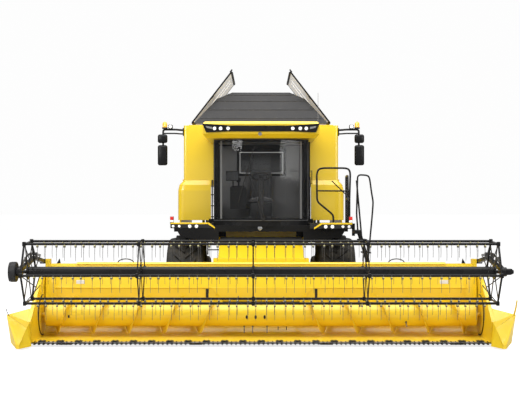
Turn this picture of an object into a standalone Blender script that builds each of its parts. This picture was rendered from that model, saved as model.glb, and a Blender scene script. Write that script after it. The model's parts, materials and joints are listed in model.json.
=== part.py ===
"""Combine harvester with a cutting header, built in Blender.

Metres, +Z up. The machine faces -Y, and its own left side is +X. The origin is
on the ground, at the middle of the whole machine. Every moving piece has its
origin on its joint's axis.
"""

from math import atan2, cos, pi, radians, sin, sqrt

import bmesh
import bpy
from mathutils import Matrix, Vector

# driving dimensions of the header
KNIFE_Y = -4.0            # front edge of the cutterbar
CUT_HALF = 3.81           # half of the cutting width, to the end sheets
FLOOR_Z = 0.075           # top of the header's floor
BACK_Y = -2.73            # front of the header's back sheet
HEADER_TOP = 1.32
FEED_AXIS = (-3.10, 0.445)     # y and z of the feed auger's axis
FEED_TUBE_R = 0.205
FLIGHT_R = 0.33
FLIGHT_PITCH = 0.62
REEL_AXIS = (-4.50, 1.28)
REEL_R = 0.55
REEL_HALF = 3.80
REEL_TURN = 3.0           # degrees that the first bat hangs under level
ARM_PIVOT = (-2.62, 1.36)

# driving dimensions of the machine
FEEDER_PIVOT = (-0.70, 1.70)
CYLINDER_X = 0.60
CYLINDER_FOOT = (-0.65, 0.80)
CYLINDER_EYE = (-1.75, 0.40)
FRONT_AXLE = (-0.30, 0.89)
FRONT_TYRE_R = 0.89
FRONT_TYRE_W = 0.76
FRONT_TRACK = 1.49
REAR_AXLE = (3.40, 0.62)
REAR_TYRE_R = 0.62
REAR_TYRE_W = 0.48
REAR_TRACK = 1.42
KINGPIN_X = 1.08
BODY_HALF = 0.78          # half width of the threshing body
SHIELD_X = 1.60           # inner face of the side shields
PANEL_Y = 0.20            # front face of the upper front panels
FLOOR_TOP = 2.06          # cab floor
ROOF_Z = 3.976
TANK_FRONT = 0.30
TANK_REAR = 2.54
LID_HINGE = (1.44, 4.08)
LID_LENGTH = 1.36
LID_ANGLE = 52.2          # degrees above level, lids open
FLAP_ANGLE = 70.0
UNLOADER = (1.42, 0.62, 3.30)
LADDER_POST = (1.79, -1.20)
CLEAR = 0.0003            # gap between pieces that touch

YELLOW = ((0.90, 0.60, 0.02), 0.35, 0.0)
DARK = ((0.025, 0.026, 0.028), 0.45, 0.0)
CHARCOAL = ((0.05, 0.05, 0.055), 0.55, 0.0)
STEEL = ((0.45, 0.46, 0.48), 0.35, 0.9)
RUBBER = ((0.018, 0.018, 0.018), 0.85, 0.0)
GLASS = ((0.10, 0.12, 0.13), 0.05, 0.0)
FABRIC = ((0.06, 0.06, 0.065), 0.9, 0.0)


def paint(name, finish):
    colour, roughness, metallic = finish
    material = bpy.data.materials.new(name + "_paint")
    material.use_nodes = True
    shader = material.node_tree.nodes["Principled BSDF"]
    shader.inputs["Base Color"].default_value = (*colour, 1.0)
    shader.inputs["Roughness"].default_value = roughness
    shader.inputs["Metallic"].default_value = metallic
    return material


def closed(bm):
    """Faces of a closed shape turned outwards."""
    bmesh.ops.recalc_face_normals(bm, faces=bm.faces)
    return bm


def loft(rings):
    """A closed body through rings of equally many points, with flat ends."""
    bm = bmesh.new()
    rows = [[bm.verts.new(p) for p in ring] for ring in rings]
    count = len(rows[0])
    for low, high in zip(rows, rows[1:]):
        for i in range(count):
            j = (i + 1) % count
            bm.faces.new((low[i], low[j], high[j], high[i]))
    bm.faces.new(list(reversed(rows[0])))
    bm.faces.new(rows[-1])
    return closed(bm)


def prism(outline, axis, low, high):
    """An outline of two coordinates, extruded along axis from low to high."""
    place = {
        "X": lambda a, b, t: (t, a, b),
        "Y": lambda a, b, t: (a, t, b),
        "Z": lambda a, b, t: (a, b, t),
    }[axis]
    return loft([[place(a, b, t) for a, b in outline] for t in (low, high)])


def block(low, high):
    """A box between two corners."""
    (x0, y0, z0), (x1, y1, z1) = low, high
    return prism([(x0, y0), (x1, y0), (x1, y1), (x0, y1)], "Z", z0, z1)


def disc(centre, radius, half, axis="X", sides=24, inner=0.0):
    """A cylinder, or a ring when it has an inner radius, along one axis."""
    profile = [(inner, -half), (radius, -half), (radius, half), (inner, half)]
    return turned(profile, centre, axis, sides)


def turned(profile, centre, axis="X", sides=32):
    """A closed profile of (radius, distance along the axis), turned round it."""
    bm = bmesh.new()
    turn = {
        "X": lambda r, t, c, s: (t, r * c, r * s),
        "Y": lambda r, t, c, s: (r * s, t, r * c),
        "Z": lambda r, t, c, s: (r * c, r * s, t),
    }[axis]
    cx, cy, cz = centre
    rows = []
    for r, t in profile:
        steps = 1 if r < 1e-6 else sides
        row = []
        for k in range(steps):
            a = 2 * pi * k / sides
            x, y, z = turn(r, t, cos(a), sin(a))
            row.append(bm.verts.new((cx + x, cy + y, cz + z)))
        rows.append(row)
    pairs = list(zip(rows, rows[1:] + rows[:1]))
    for one, two in pairs:
        if len(one) == 1 and len(two) == 1:
            continue
        for k in range(sides):
            n = (k + 1) % sides
            corners = [one[k % len(one)], one[n % len(one)]]
            corners += [two[n % len(two)], two[k % len(two)]]
            face = []
            for corner in corners:
                if corner not in face:
                    face.append(corner)
            bm.faces.new(face)
    return closed(bm)


def bar(points, radius, sides=8, square=False):
    """A round or square bar along a path, with mitred corners and flat ends."""
    points = [Vector(p) for p in points]
    steps = 4 if square else sides
    start = pi / 4 if square else 0.0
    reach = radius * sqrt(2) if square else radius
    ways = [(b - a).normalized() for a, b in zip(points, points[1:])]
    side = ways[0].cross(Vector((0, 0, 1)))
    if side.length < 1e-3:
        side = ways[0].cross(Vector((0, 1, 0)))
    side.normalize()
    up = side.cross(ways[0]).normalized()
    rings = []
    for i, point in enumerate(points):
        before = ways[max(i - 1, 0)]
        after = ways[min(i, len(ways) - 1)]
        normal = (before + after).normalized()
        ring = []
        for k in range(steps):
            a = start + 2 * pi * k / steps
            spoke = side * (reach * cos(a)) + up * (reach * sin(a))
            # slide the point along the run onto the mitre plane
            slide = -spoke.dot(normal) / before.dot(normal)
            ring.append(point + spoke + before * slide)
        rings.append(ring)
        if 0 < i < len(points) - 1:
            turn = before.rotation_difference(after)
            side.rotate(turn)
            up.rotate(turn)
    return loft(rings)


def arc(centre, radius, start, end, steps):
    """Points on a circle of two coordinates, from start to end degrees."""
    a, b = centre
    angles = [radians(start + (end - start) * k / steps) for k in range(steps + 1)]
    return [(a + radius * cos(t), b + radius * sin(t)) for t in angles]


def mirrored(bm):
    """The same shape on the other side of the machine."""
    copy = bm.copy()
    bmesh.ops.transform(copy, matrix=Matrix.Scale(-1, 4, (1, 0, 0)), verts=copy.verts)
    return closed(copy)


def both(bm):
    return [bm, mirrored(bm)]


def turn_about(bm, point, axis, degrees):
    matrix = Matrix.Translation(point) @ Matrix.Rotation(radians(degrees), 4, axis)
    matrix = matrix @ Matrix.Translation(-Vector(point))
    bmesh.ops.transform(bm, matrix=matrix, verts=bm.verts)
    return bm


def as_object(bm, name):
    mesh = bpy.data.meshes.new(name)
    bm.to_mesh(mesh)
    bm.free()
    made = bpy.data.objects.new(name, mesh)
    bpy.context.scene.collection.objects.link(made)
    return made


def combined(target, shapes, operation):
    """The target after a union with, or a cut by, each shape in turn."""
    for shape in shapes:
        tool = as_object(shape, "tool")
        change = target.modifiers.new(operation, "BOOLEAN")
        change.operation = operation
        change.solver = "EXACT"
        change.object = tool
        graph = bpy.context.evaluated_depsgraph_get()
        graph.update()
        mesh = bpy.data.meshes.new_from_object(target.evaluated_get(graph))
        target.modifiers.clear()
        old = target.data
        target.data = mesh
        bpy.data.meshes.remove(old)
        bpy.data.objects.remove(tool)


def piece(name, finish, shapes, cuts=(), origin=(0, 0, 0), smooth=35.0):
    """One named piece: shapes joined into one closed body, less the cuts."""
    shapes = list(shapes)
    made = as_object(shapes[0], name)
    made.data.materials.append(paint(name, finish))
    combined(made, shapes[1:], "UNION")
    combined(made, cuts, "DIFFERENCE")
    made.name = name
    bm = bmesh.new()
    bm.from_mesh(made.data)
    bmesh.ops.remove_doubles(bm, verts=bm.verts, dist=2e-5)
    bmesh.ops.dissolve_limit(bm, angle_limit=radians(0.2), verts=bm.verts, edges=bm.edges)
    bmesh.ops.translate(bm, vec=-Vector(origin), verts=bm.verts)
    bm.to_mesh(made.data)
    bm.free()
    made.data.shade_smooth()
    made.data.set_sharp_from_angle(angle=radians(smooth))
    made.location = origin
    return made


def pair(name, finish, shapes, cuts=(), origin=(0, 0, 0)):
    """The same piece on the left (+X) and, mirrored, on the right."""
    x, y, z = origin
    copies = [s.copy() for s in shapes]
    cut_copies = [c.copy() for c in cuts]
    piece(name + "_left", finish, shapes, cuts, origin)
    mirror_shapes = [mirrored(s) for s in copies]
    mirror_cuts = [mirrored(c) for c in cut_copies]
    piece(name + "_right", finish, mirror_shapes, mirror_cuts, (-x, y, z))


def chassis():
    rail = block((0.62, -0.55, 0.985), (0.76, 4.00, 1.12))
    crossings = [
        block((-0.70, y, 1.00), (0.70, y + 0.14, 1.10)) for y in (-0.37, 1.10, 2.40, 3.33)
    ]
    piece("chassis_frame", DARK, [*both(rail), *crossings])


def front_axle():
    y, z = FRONT_AXLE
    beam = block((-0.95, y - 0.12, z - 0.15), (0.95, y + 0.12, z + 0.09))
    drive = disc((0.915, y, z), 0.23, 0.15, sides=20)
    flange = disc((1.15, y, z), 0.15, 0.14, sides=16)
    shapes = [beam, *both(drive), *both(flange)]
    fy, fz = CYLINDER_FOOT
    for side in (-1, 1):
        for offset in (-0.072, 0.072):
            x = side * CYLINDER_X + offset
            shapes.append(block((x - 0.012, fy - 0.05, fz - 0.045), (x + 0.012, y - 0.05, fz + 0.045)))
        shapes.append(disc((side * CYLINDER_X, fy, fz), 0.025, 0.080, sides=12))
    piece("front_axle", DARK, shapes)


def rear_axle():
    y, z = REAR_AXLE
    beam = block((-0.98, y - 0.09, z - 0.09), (0.98, y + 0.09, z + 0.09))
    stand = block((-0.16, y - 0.10, z), (0.16, y + 0.10, 0.985 - CLEAR))
    eyes = [block((0.97, y - 0.07, z - 0.11), (1.03, y + 0.07, z - 0.04)),
            block((0.97, y - 0.07, z + 0.04), (1.03, y + 0.07, z + 0.11))]
    shapes = [beam, stand]
    for eye in eyes:
        shapes += both(eye)
    piece("rear_axle", DARK, shapes)


def knuckles():
    y, z = REAR_AXLE
    pin = disc((KINGPIN_X, y, z), 0.045, 0.15, "Z", 16)
    stub = disc((KINGPIN_X + 0.14, y, z), 0.05, 0.14, "X", 16)
    arm = block((KINGPIN_X - 0.03, y, z - 0.149), (KINGPIN_X + 0.03, y + 0.24, z - 0.118))
    pair("rear_knuckle", DARK, [pin, stub, arm], origin=(KINGPIN_X, y, z))


def wheel(name, centre, radius, width, rim_r, sides, dish):
    """A tyre and its rim, on the left and mirrored on the right."""
    x, y, z = centre
    half = width / 2
    bead = rim_r + 0.005
    tyre = [
        (bead, -0.36 * width), (rim_r + 0.05, -0.45 * width),
        (radius * 0.72, -half), (radius * 0.93, -0.93 * half), (radius, -0.62 * half),
        (radius, 0.62 * half), (radius * 0.93, 0.93 * half), (radius * 0.72, half),
        (rim_r + 0.05, 0.45 * width), (bead, 0.36 * width),
    ]
    pair(name + "_tyre", RUBBER, [turned(tyre, centre, "X", sides)], origin=centre)
    edge = 0.36 * width
    rim = [
        (rim_r + 0.004, -edge), (rim_r + 0.004, edge), (rim_r - 0.03, edge),
        (rim_r - 0.045, dish + 0.03), (0.11, dish + 0.09), (0.11, dish + 0.13),
        (0.0, dish + 0.13), (0.0, dish + 0.06), (0.16, dish + 0.05),
        (rim_r - 0.06, dish), (rim_r - 0.05, -edge),
    ]
    pair(name + "_rim", YELLOW, [turned(rim, centre, "X", sides)], origin=centre)


def threshing_body():
    outline = [
        (-0.60, 1.125), (-0.60, 1.93), (0.28, 1.93), (0.28, 2.60),
        (2.58, 2.60), (2.58, 2.86), (4.10, 2.86), (4.10, 2.00), (3.60, 1.125),
    ]
    deck = block((-1.56, 2.57, 2.86 - 0.02), (1.56, 4.20, 2.915))
    piece("threshing_body", YELLOW, [prism(outline, "X", -BODY_HALF, BODY_HALF), deck])


def engine():
    y0, y1, z0 = 2.85, 3.85, 2.915 + CLEAR
    lower = block((-0.45, y0, z0), (0.45, y1, z0 + 0.45))
    piece("engine_block", DARK, [lower])
    top = [(-1.20, 2.916), (-1.20, 3.55), (-1.05, 3.72), (1.05, 3.72), (1.20, 3.55), (1.20, 2.916)]
    hollow = [(-1.17, 2.80), (-1.17, 3.54), (-1.04, 3.69), (1.04, 3.69), (1.17, 3.54), (1.17, 2.80)]
    shell = prism(top, "Y", 2.62, 4.14)
    piece("engine_hood", YELLOW, [shell], [prism(hollow, "Y", 2.65, 4.11)])


def straw_hood():
    outline = [
        (4.12, 2.80), (4.70, 2.62), (4.93, 2.30), (4.93, 1.60), (4.62, 1.32),
        (3.80, 1.32), (4.12, 1.95),
    ]
    chopper = prism([(4.10, 0.92), (4.10, 1.34), (4.70, 1.40), (4.86, 1.20), (5.07, 1.02),
                     (5.05, 0.96), (4.75, 0.92)], "X", -0.86, 0.86)
    mouth = prism([(4.60, 0.80), (4.60, 1.10), (5.20, 0.98), (5.20, 0.80)], "X", -0.80, 0.80)
    piece("straw_hood", YELLOW, [prism(outline, "X", -0.82, 0.82), chopper], [mouth])


def front_panels():
    """The yellow corner panels beside the cab, wider below a soft shoulder."""
    thick = 0.03

    def shell(inner, outer, front, radius, z, rear=0.60):
        middle = (outer - radius, front + radius)
        face = [(inner, front), *arc(middle, radius, -90, 0, 4), (outer, rear)]
        back = [(outer - thick, rear), *arc(middle, radius - thick, 0, -90, 4)]
        return [(x, y, z) for x, y in [*face, *back, (inner, front + thick)]]

    rings = [shell(1.030, 1.716, 0.11, 0.12, 2.07), shell(1.030, 1.716, 0.11, 0.12, 2.68),
             shell(1.030, 1.690, 0.13, 0.11, 2.80),
             shell(1.030, 1.600, PANEL_Y, 0.05, 2.893, 0.40),
             shell(0.946, 1.600, PANEL_Y, 0.05, 2.900, 0.40),
             shell(0.946, 1.600, PANEL_Y, 0.05, 4.03, 0.40)]
    pair("front_panel", YELLOW, [loft(rings)])


def grain_tank():
    def section(grow, top):
        wide, narrow = 1.50 - grow, 1.22 - grow
        half = [(0.30, 2.62 + grow), (narrow, 3.05 + grow), (narrow, 3.54), (wide, 3.68 + grow),
                (wide, top)]
        return [(-x, z) for x, z in reversed(half)] + half
    outer = section(0.0, 4.05)
    inner = section(0.03, 4.20)
    wall = 0.03
    ux, uy, _ = UNLOADER
    boss = disc((ux, uy, 2.90), 0.15, 0.05, "Z", 16)
    link = block((0.75, uy - 0.10, 2.86), (ux, uy + 0.10, 2.94))
    solid = prism(outer, "Y", TANK_FRONT, TANK_REAR)
    hollow = prism(inner, "Y", TANK_FRONT + wall, TANK_REAR - wall)
    made = [solid, block((-0.31, 0.6, 2.6005), (0.31, 2.3, 2.66)), link, boss]
    cuts = [hollow]
    piece("grain_tank", YELLOW, made, cuts)


def tank_covers():
    """Lids hinged along the tank's sides, and flaps across its front and rear."""
    hx, hz = LID_HINGE
    lid = block((hx - LID_LENGTH, TANK_FRONT + 0.06, hz), (hx, TANK_REAR - 0.06, hz + 0.02))
    lip = block((hx - LID_LENGTH, TANK_FRONT + 0.06, hz - 0.018),
                (hx - LID_LENGTH + 0.02, TANK_REAR - 0.06, hz + 0.01))
    parts = [turn_about(s, (hx, 0, hz), "Y", LID_ANGLE) for s in (lid, lip)]
    pair("tank_lid", CHARCOAL, parts, origin=(hx, 1.42, hz))
    outline = [(-1.40, 0.0), (1.40, 0.0), (0.924, 0.566), (0.604, 0.714),
               (-0.604, 0.714), (-0.924, 0.566)]
    for name, y, way in (("front", TANK_FRONT + 0.012, 1), ("rear", TANK_REAR - 0.012, -1)):
        flap = prism(outline, "Y", -0.008, 0.008)
        turn_about(flap, (0, 0, 0), "X", -way * (90 - FLAP_ANGLE))
        bmesh.ops.translate(flap, vec=(0, y, hz - 0.003), verts=flap.verts)
        piece("tank_flap_" + name, CHARCOAL, [flap], origin=(0, y, hz - 0.003))


def unloading_auger():
    x, y, z = UNLOADER
    base = disc((x, y, 3.08), 0.14, 0.12, "Z", 16)
    tube = bar([(x, y, 2.96), (x, y, 3.10), (x, y + 0.16, z), (x, 4.55, z)], 0.15, 16)
    spout = bar([(x, 4.50, z), (x, 4.74, z - 0.05), (x, 4.84, z - 0.34)], 0.145, 12)
    piece("unloading_auger", YELLOW, [tube, base, spout], origin=(x, y, z))


def side_shields():
    def plate(y0, y1, low):
        outer = [(1.645, 2.89), (1.70, 2.60), (1.715, 2.0), (1.70, low)]
        inner = [(x - 0.035, z) for x, z in reversed(outer)]
        return prism(outer + inner, "Y", y0, y1)
    hinge = (1.645, 0, 2.91)
    for name, y0, y1, low in (("front", 0.62, 2.28, 1.10), ("rear", 2.30, 4.05, 1.42)):
        middle = (y0 + y1) / 2
        pin = bar([(hinge[0], y0 + 0.1, hinge[2]), (hinge[0], y1 - 0.1, hinge[2])], 0.018)
        strap = block((1.625, y0 + 0.2, 2.86), (1.655, y1 - 0.2, 2.91))
        pair("side_shield_" + name, YELLOW, [plate(y0, y1, low), strap, pin],
             origin=(hinge[0], middle, hinge[2]))


def cab_plan(grow=0.0, front=-1.20, sides=0.93, rear=0.26, steps=10):
    """The cab's outline from above: straight sides and rear, bowed front."""
    corner_y, bow = -0.90, -0.90 - front
    half = sides + grow
    xs = [-half + 2 * half * k / steps for k in range(steps + 1)]
    face = [(x, corner_y - (bow + grow) * (1 - (x / half) ** 2)) for x in xs]
    return face + [(half, rear + grow), (-half, rear + grow)]


def cab():
    shell = prism(cab_plan(), "Z", 1.96, 3.66)
    room = prism(cab_plan(-0.06, front=-1.20), "Z", FLOOR_TOP, 3.80)
    screen = block((-0.84, -1.50, 2.12), (0.84, -0.86, 3.60))
    door = block((0.5, -0.84, 2.12), (1.2, -0.06, 3.60))
    window = block((-1.2, -0.84, 2.45), (-0.5, 0.10, 3.60))
    rear = block((-0.44, 0.0, 3.04), (0.46, 0.5, 3.48))
    plinth = prism([(-1.15, 1.86), (-1.15, 1.97), (0.20, 1.97), (0.20, 1.935), (-0.80, 1.935),
                    (-0.90, 1.86)], "X", -0.90, 0.90)
    piece("cab_frame", DARK, [shell, plinth], [room, screen, door, window, rear])

    bow = cab_plan()[:11]
    for end, near in ((0, 1), (10, 9)):
        (x0, y0), (x1, y1) = bow[end], bow[near]
        bow[end] = (x0 + 0.08 * (x1 - x0), y0 + 0.08 * (y1 - y0))
    glass = [(x, y - 0.011) for x, y in bow] + [(x, y - 0.002) for x, y in reversed(bow)]
    piece("windscreen", GLASS, [prism(glass, "Z", 2.08, 3.648)])
    pane = block((-0.945, -0.86, 2.43), (-0.9335, 0.12, 3.62))
    piece("side_window_right", GLASS, [pane])

    roof = [(-1.12, -1.46), (-0.60, -1.50), (0.60, -1.50), (1.12, -1.46), (1.12, 0.17),
            (0.93, 0.17), (0.93, 0.275), (-0.93, 0.275), (-0.93, 0.17), (-1.12, 0.17)]
    crown = [(0.96 * x, 0.97 * y) for x, y in roof]
    crown[5:9] = [(0.92, 0.165), (0.92, 0.27), (-0.92, 0.27), (-0.92, 0.165)]
    under = [(0.93 * x, 0.93 * y) for x, y in roof]
    under[5:9] = [(0.91, 0.158), (0.91, 0.27), (-0.91, 0.27), (-0.91, 0.158)]
    rings = [[(x, y, z) for x, y in plan]
             for plan, z in ((under, 3.662), (roof, 3.74), (roof, 3.93), (crown, ROOF_Z))]
    piece("cab_roof", YELLOW, [loft(rings)])
    lamps = prism([(-1.12, 3.93), (-1.05, 3.76), (-0.60, 3.78), (0.60, 3.78), (1.05, 3.76),
                   (1.12, 3.93), (0.60, 3.89), (-0.60, 3.89)], "Y", -1.54, -1.503)
    piece("roof_light_bar", DARK, [lamps])

    frame = block((0.936, -0.87, 2.09), (0.966, -0.03, 3.62))
    opening = block((0.90, -0.81, 2.20), (1.00, -0.09, 3.56))
    handle = bar([(0.96, -0.80, 2.80), (1.00, -0.80, 2.80), (1.00, -0.80, 3.05),
                  (0.96, -0.80, 3.05)], 0.012)
    hinge = (0.966, -0.015, 2.85)
    knuckle = bar([(hinge[0], hinge[1] - 0.012, 2.3), (hinge[0], hinge[1] - 0.012, 3.4)], 0.016)
    piece("cab_door", DARK, [frame, knuckle, handle], [opening], origin=hinge)
    piece("cab_door_glass", GLASS, [block((0.946, -0.8097, 2.2003), (0.954, -0.0903, 3.5597))],
          origin=hinge)


def cab_inside():
    floor = FLOOR_TOP + CLEAR
    column = bar([(0, -0.80, floor + 0.01), (0, -0.80, 2.40), (0, -0.66, 2.90)], 0.055, 8)
    foot = block((-0.12, -0.90, floor), (0.12, -0.70, floor + 0.05))
    piece("steering_column", DARK, [foot, column])
    ring = turned([(0.17 + 0.018 * cos(a), 0.018 * sin(a))
                   for a in (2 * pi * k / 6 for k in range(6))], (0, 0, 0), "Z", 16)
    hub = disc((0, 0, -0.01), 0.045, 0.025, "Z", 12)
    spokes = [block((-0.17, -0.015, -0.008), (0.17, 0.015, 0.008)),
              block((-0.015, -0.17, -0.0085), (0.015, 0.0, 0.0075))]
    centre = (0, -0.645, 2.945)
    tilt = Matrix.Rotation(radians(-24), 4, "X")
    parts = [ring, spokes[0], spokes[1], hub]
    for part in parts:
        bmesh.ops.transform(part, matrix=Matrix.Translation(centre) @ tilt, verts=part.verts)
    piece("steering_wheel", DARK, parts, origin=centre)
    base = block((-0.22, -0.42, floor), (0.22, 0.02, 2.42))
    arm = block((-0.62, -0.45, 2.30), (-0.30, 0.0, 2.74))
    link = block((-0.40, -0.30, 2.30), (-0.10, -0.05, 2.40))
    piece("seat_base", DARK, [base, arm, link])
    piece("seat_cushion", FABRIC, [block((-0.25, -0.48, 2.4205), (0.25, 0.02, 2.55))])
    back = prism([(0.0205, 2.44), (0.0505, 3.10), (0.15, 3.10), (0.12, 2.44)], "X", -0.23, 0.23)
    piece("seat_backrest", FABRIC, [back])


def platforms():
    """Decks beside the cab: the left one carries the hand rails."""
    def deck(front):
        return [block((0.945, front, 1.975), (1.72, 0.09, 2.02)),
                block((0.945, -1.14, 1.86), (1.69, -1.06, 2.00)),
                block((0.9305, -0.55, 1.80), (1.00, 0.05, 1.99))]
    rail_y = -1.66
    main = [(1.37, rail_y, 2.0), (1.37, rail_y, 2.17), (1.33, rail_y, 2.22),
            (1.06, rail_y, 2.44), (1.055, rail_y, 2.98), (1.09, rail_y, 3.05),
            (1.16, rail_y, 3.075), (1.60, rail_y, 3.075), (1.665, rail_y, 3.05),
            (1.69, rail_y, 2.98), (1.675, rail_y, 2.50), (1.675, rail_y, 2.0)]
    middle = [(1.055, rail_y, 2.645), (1.68, rail_y, 2.64)]
    side = [(1.69, -1.10, 2.0), (1.69, -1.10, 2.95), (1.69, -0.66, 2.95), (1.69, -0.66, 2.0)]
    cross = [(1.69, -1.12, 2.50), (1.69, -0.64, 2.50)]
    shapes = [*deck(-1.70)]
    shapes += [bar(path, 0.018, 6) for path in (main, middle, side, cross)]
    stay = block((1.20, -1.69, 1.90), (1.26, -1.02, 1.99))
    piece("platform_left", DARK, [*shapes, stay])
    piece("platform_right", DARK, [mirrored(s) for s in deck(-1.14)])


def ladder():
    """Steps beside the platform, hung on a post that swings them back past the tyre."""
    x, y = LADDER_POST
    rear, front, drop = y - 0.12, y - 0.54, 1.27
    shapes = [bar([(x, y, 1.78), (x, y, 2.02)], 0.03, 10),
              block((x - 0.02, front - 0.02, 1.83), (x + 0.11, y + 0.01, 1.90))]
    for side in (front, rear):
        run = [(x + 0.07, side, 1.87), (x + 0.45, side, 1.87 - drop)]
        shapes.append(bar(run, 0.022, square=True))
    for k in range(5):
        t = 0.12 + 0.19 * k
        sx, sz = x + 0.07 + 0.38 * t, 1.87 - drop * t
        shapes.append(block((sx - 0.06, front, sz - 0.014), (sx + 0.10, rear, sz + 0.012)))
    near = [(x + 0.11, front, 1.72), (x + 0.10, front, 1.84), (x + 0.01, front, 2.84)]
    far = [(x + 0.26, rear, 1.20), (x + 0.35, rear, 2.17), (x + 0.37, rear, 2.44),
           (x + 0.34, rear, 2.60), (x + 0.30, rear, 2.90), (x + 0.26, rear, 2.95),
           (x + 0.07, rear, 2.96), (x + 0.05, rear, 2.20), (x + 0.08, rear, 1.80)]
    shapes += [bar(near, 0.016, 6), bar(far, 0.016, 6)]
    piece("access_ladder", DARK, shapes, origin=(x, y, 1.9))


def mirrors():
    y = 0.14
    arm = bar([(1.60 + CLEAR, 0.28, 3.94), (1.66, 0.28, 3.94), (1.76, y, 3.94),
               (2.02, y, 3.94), (2.02, y, 3.60)], 0.022, 6)
    stay = bar([(1.60 + CLEAR, 0.28, 3.86), (1.66, 0.28, 3.86), (1.76, y, 3.86),
                (2.04, y, 3.86)], 0.016, 6)
    plate = block((1.60 + CLEAR, 0.22, 3.82), (1.62, 0.34, 3.98))
    upper = block((1.93, y - 0.06, 3.66), (2.13, y + 0.04, 3.84))
    lower = block((1.93, y - 0.06, 3.20), (2.13, y + 0.04, 3.62))
    link = block((1.99, y - 0.03, 3.58), (2.05, y + 0.02, 3.70))
    pair("mirror", DARK, [arm, stay, plate, upper, lower, link])


def feeder():
    outline = [(-2.10, 1.38), (-2.46, 1.38), (-2.46, 0.24), (-2.10, 0.28), (-0.95, 1.00),
               (-0.72, 1.35), (-0.72, 1.72), (-0.95, 1.74)]
    tunnel = [(-2.60, 0.28), (-2.60, 0.66), (-2.10, 0.84), (-1.20, 1.47), (-0.95, 1.25),
              (-2.00, 0.42)]
    body = prism(outline, "X", -0.80, 0.80)
    front = -2.485 + CLEAR
    flange = block((-0.87, front, 0.22), (0.87, -2.16, 1.40))
    pivot = bar([(-0.84, *FEEDER_PIVOT), (0.84, *FEEDER_PIVOT)], 0.05, 12)
    ey, ez = CYLINDER_EYE
    shapes = [body, flange, pivot]
    for side in (-1, 1):
        for offset in (-0.072, 0.072):
            x = side * CYLINDER_X + offset
            shapes.append(block((x - 0.012, ey - 0.06, ez - 0.055), (x + 0.012, ey + 0.06, 0.62)))
        shapes.append(disc((side * CYLINDER_X, ey, ez), 0.022, 0.080, sides=12))
    piece("feeder_house", YELLOW, shapes, [prism(tunnel, "X", -0.70, 0.70)],
          origin=(0, *FEEDER_PIVOT))


def header():
    ay, az = FEED_AXIS
    rear, low, radius = -2.485, FLOOR_Z - 0.03, 0.37
    trough = arc((ay, az), radius, -90, 0, 6)
    outside = arc((ay, az), radius + 0.03, 0, -90, 6)
    profile = [(KNIFE_Y + 0.04, FLOOR_Z), *trough, (BACK_Y, 0.887), (-2.63, HEADER_TOP)]
    profile += [(-2.60, HEADER_TOP - 0.01), (BACK_Y + 0.03, 0.88), *outside, (KNIFE_Y + 0.04, low)]
    sheet = prism(profile, "X", -3.87, 3.87)
    shapes = [sheet]
    shapes.append(block((-3.87, -2.62, 1.17), (3.87, rear, 1.30)))
    shapes.append(block((-3.87, -2.635, 0.18), (3.87, rear - 0.001, 0.32)))
    for x in (-3.80, -2.85, -1.90, -0.95, 0.95, 1.90, 2.85, 3.80):
        rib = [(-2.71, 0.25), (-2.71, 0.90), (-2.64, 1.20), (-2.50, 1.20), (-2.50, 0.25)]
        shapes.append(prism(rib, "X", x - 0.03, x + 0.03))
    end = [(KNIFE_Y - 0.05, 0.05), (KNIFE_Y - 0.05, 0.42), (-3.55, 0.80), (-3.20, 1.02),
           (-2.95, 1.14), (-2.70, 1.18), (-2.56, 1.18), (-2.56, 0.20), (-3.0, 0.05)]
    shapes += both(prism(end, "X", 3.84, 3.90))
    shapes += both(prism([(-2.66, 1.15), (-2.66, 1.40), (-2.50, 1.40), (-2.50, 1.15)],
                         "X", 3.80, 3.878))
    mouth = block((-0.72, -3.0, 0.26), (0.72, -2.3, 0.645))
    piece("header_frame", YELLOW, shapes, [mouth])
    guard = prism([(KNIFE_Y - 0.10, 0.062), (KNIFE_Y + 0.02, 0.046), (KNIFE_Y + 0.0395, 0.046),
                   (KNIFE_Y + 0.0395, 0.066), (KNIFE_Y - 0.06, 0.0685)], "X", -3.83, 3.83)
    piece("cutterbar", DARK, [guard])
    blade = prism([(KNIFE_Y - 0.07, 0.0695), (KNIFE_Y + 0.03, 0.0695), (KNIFE_Y + 0.03, 0.0725),
                   (KNIFE_Y - 0.05, 0.0725)], "X", -3.74, 3.74)
    spine = block((-3.74, KNIFE_Y - 0.005, 0.072), (3.74, KNIFE_Y + 0.02, 0.084))
    piece("knife", STEEL, [blade, spine], origin=(0, KNIFE_Y, 0.07))


def dividers():
    """Pointed end pieces that part the crop, wide below and open towards the outside."""
    inner = 3.9005
    rings = [
        [(inner, -3.05, 0.07), (3.97, -3.05, 0.07), (3.97, -3.05, 0.60), (inner, -3.05, 0.60)],
        [(inner, -3.75, 0.05), (4.06, -3.75, 0.05), (4.04, -3.75, 0.55), (inner, -3.75, 0.62)],
        [(3.84, -4.08, 0.04), (4.16, -4.08, 0.10), (4.20, -4.08, 0.55), (3.86, -4.08, 0.40)],
        [(3.78, -4.26, 0.04), (4.12, -4.26, 0.10), (4.19, -4.26, 0.56), (3.86, -4.26, 0.34)],
        [(3.92, -4.52, 0.03), (3.97, -4.52, 0.03), (3.98, -4.52, 0.10), (3.92, -4.52, 0.10)],
    ]
    pair("crop_divider", YELLOW, [loft(rings)],
         [block((3.70, -4.0503, 0.0), (3.9003, -2.9, 0.9))])


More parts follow.
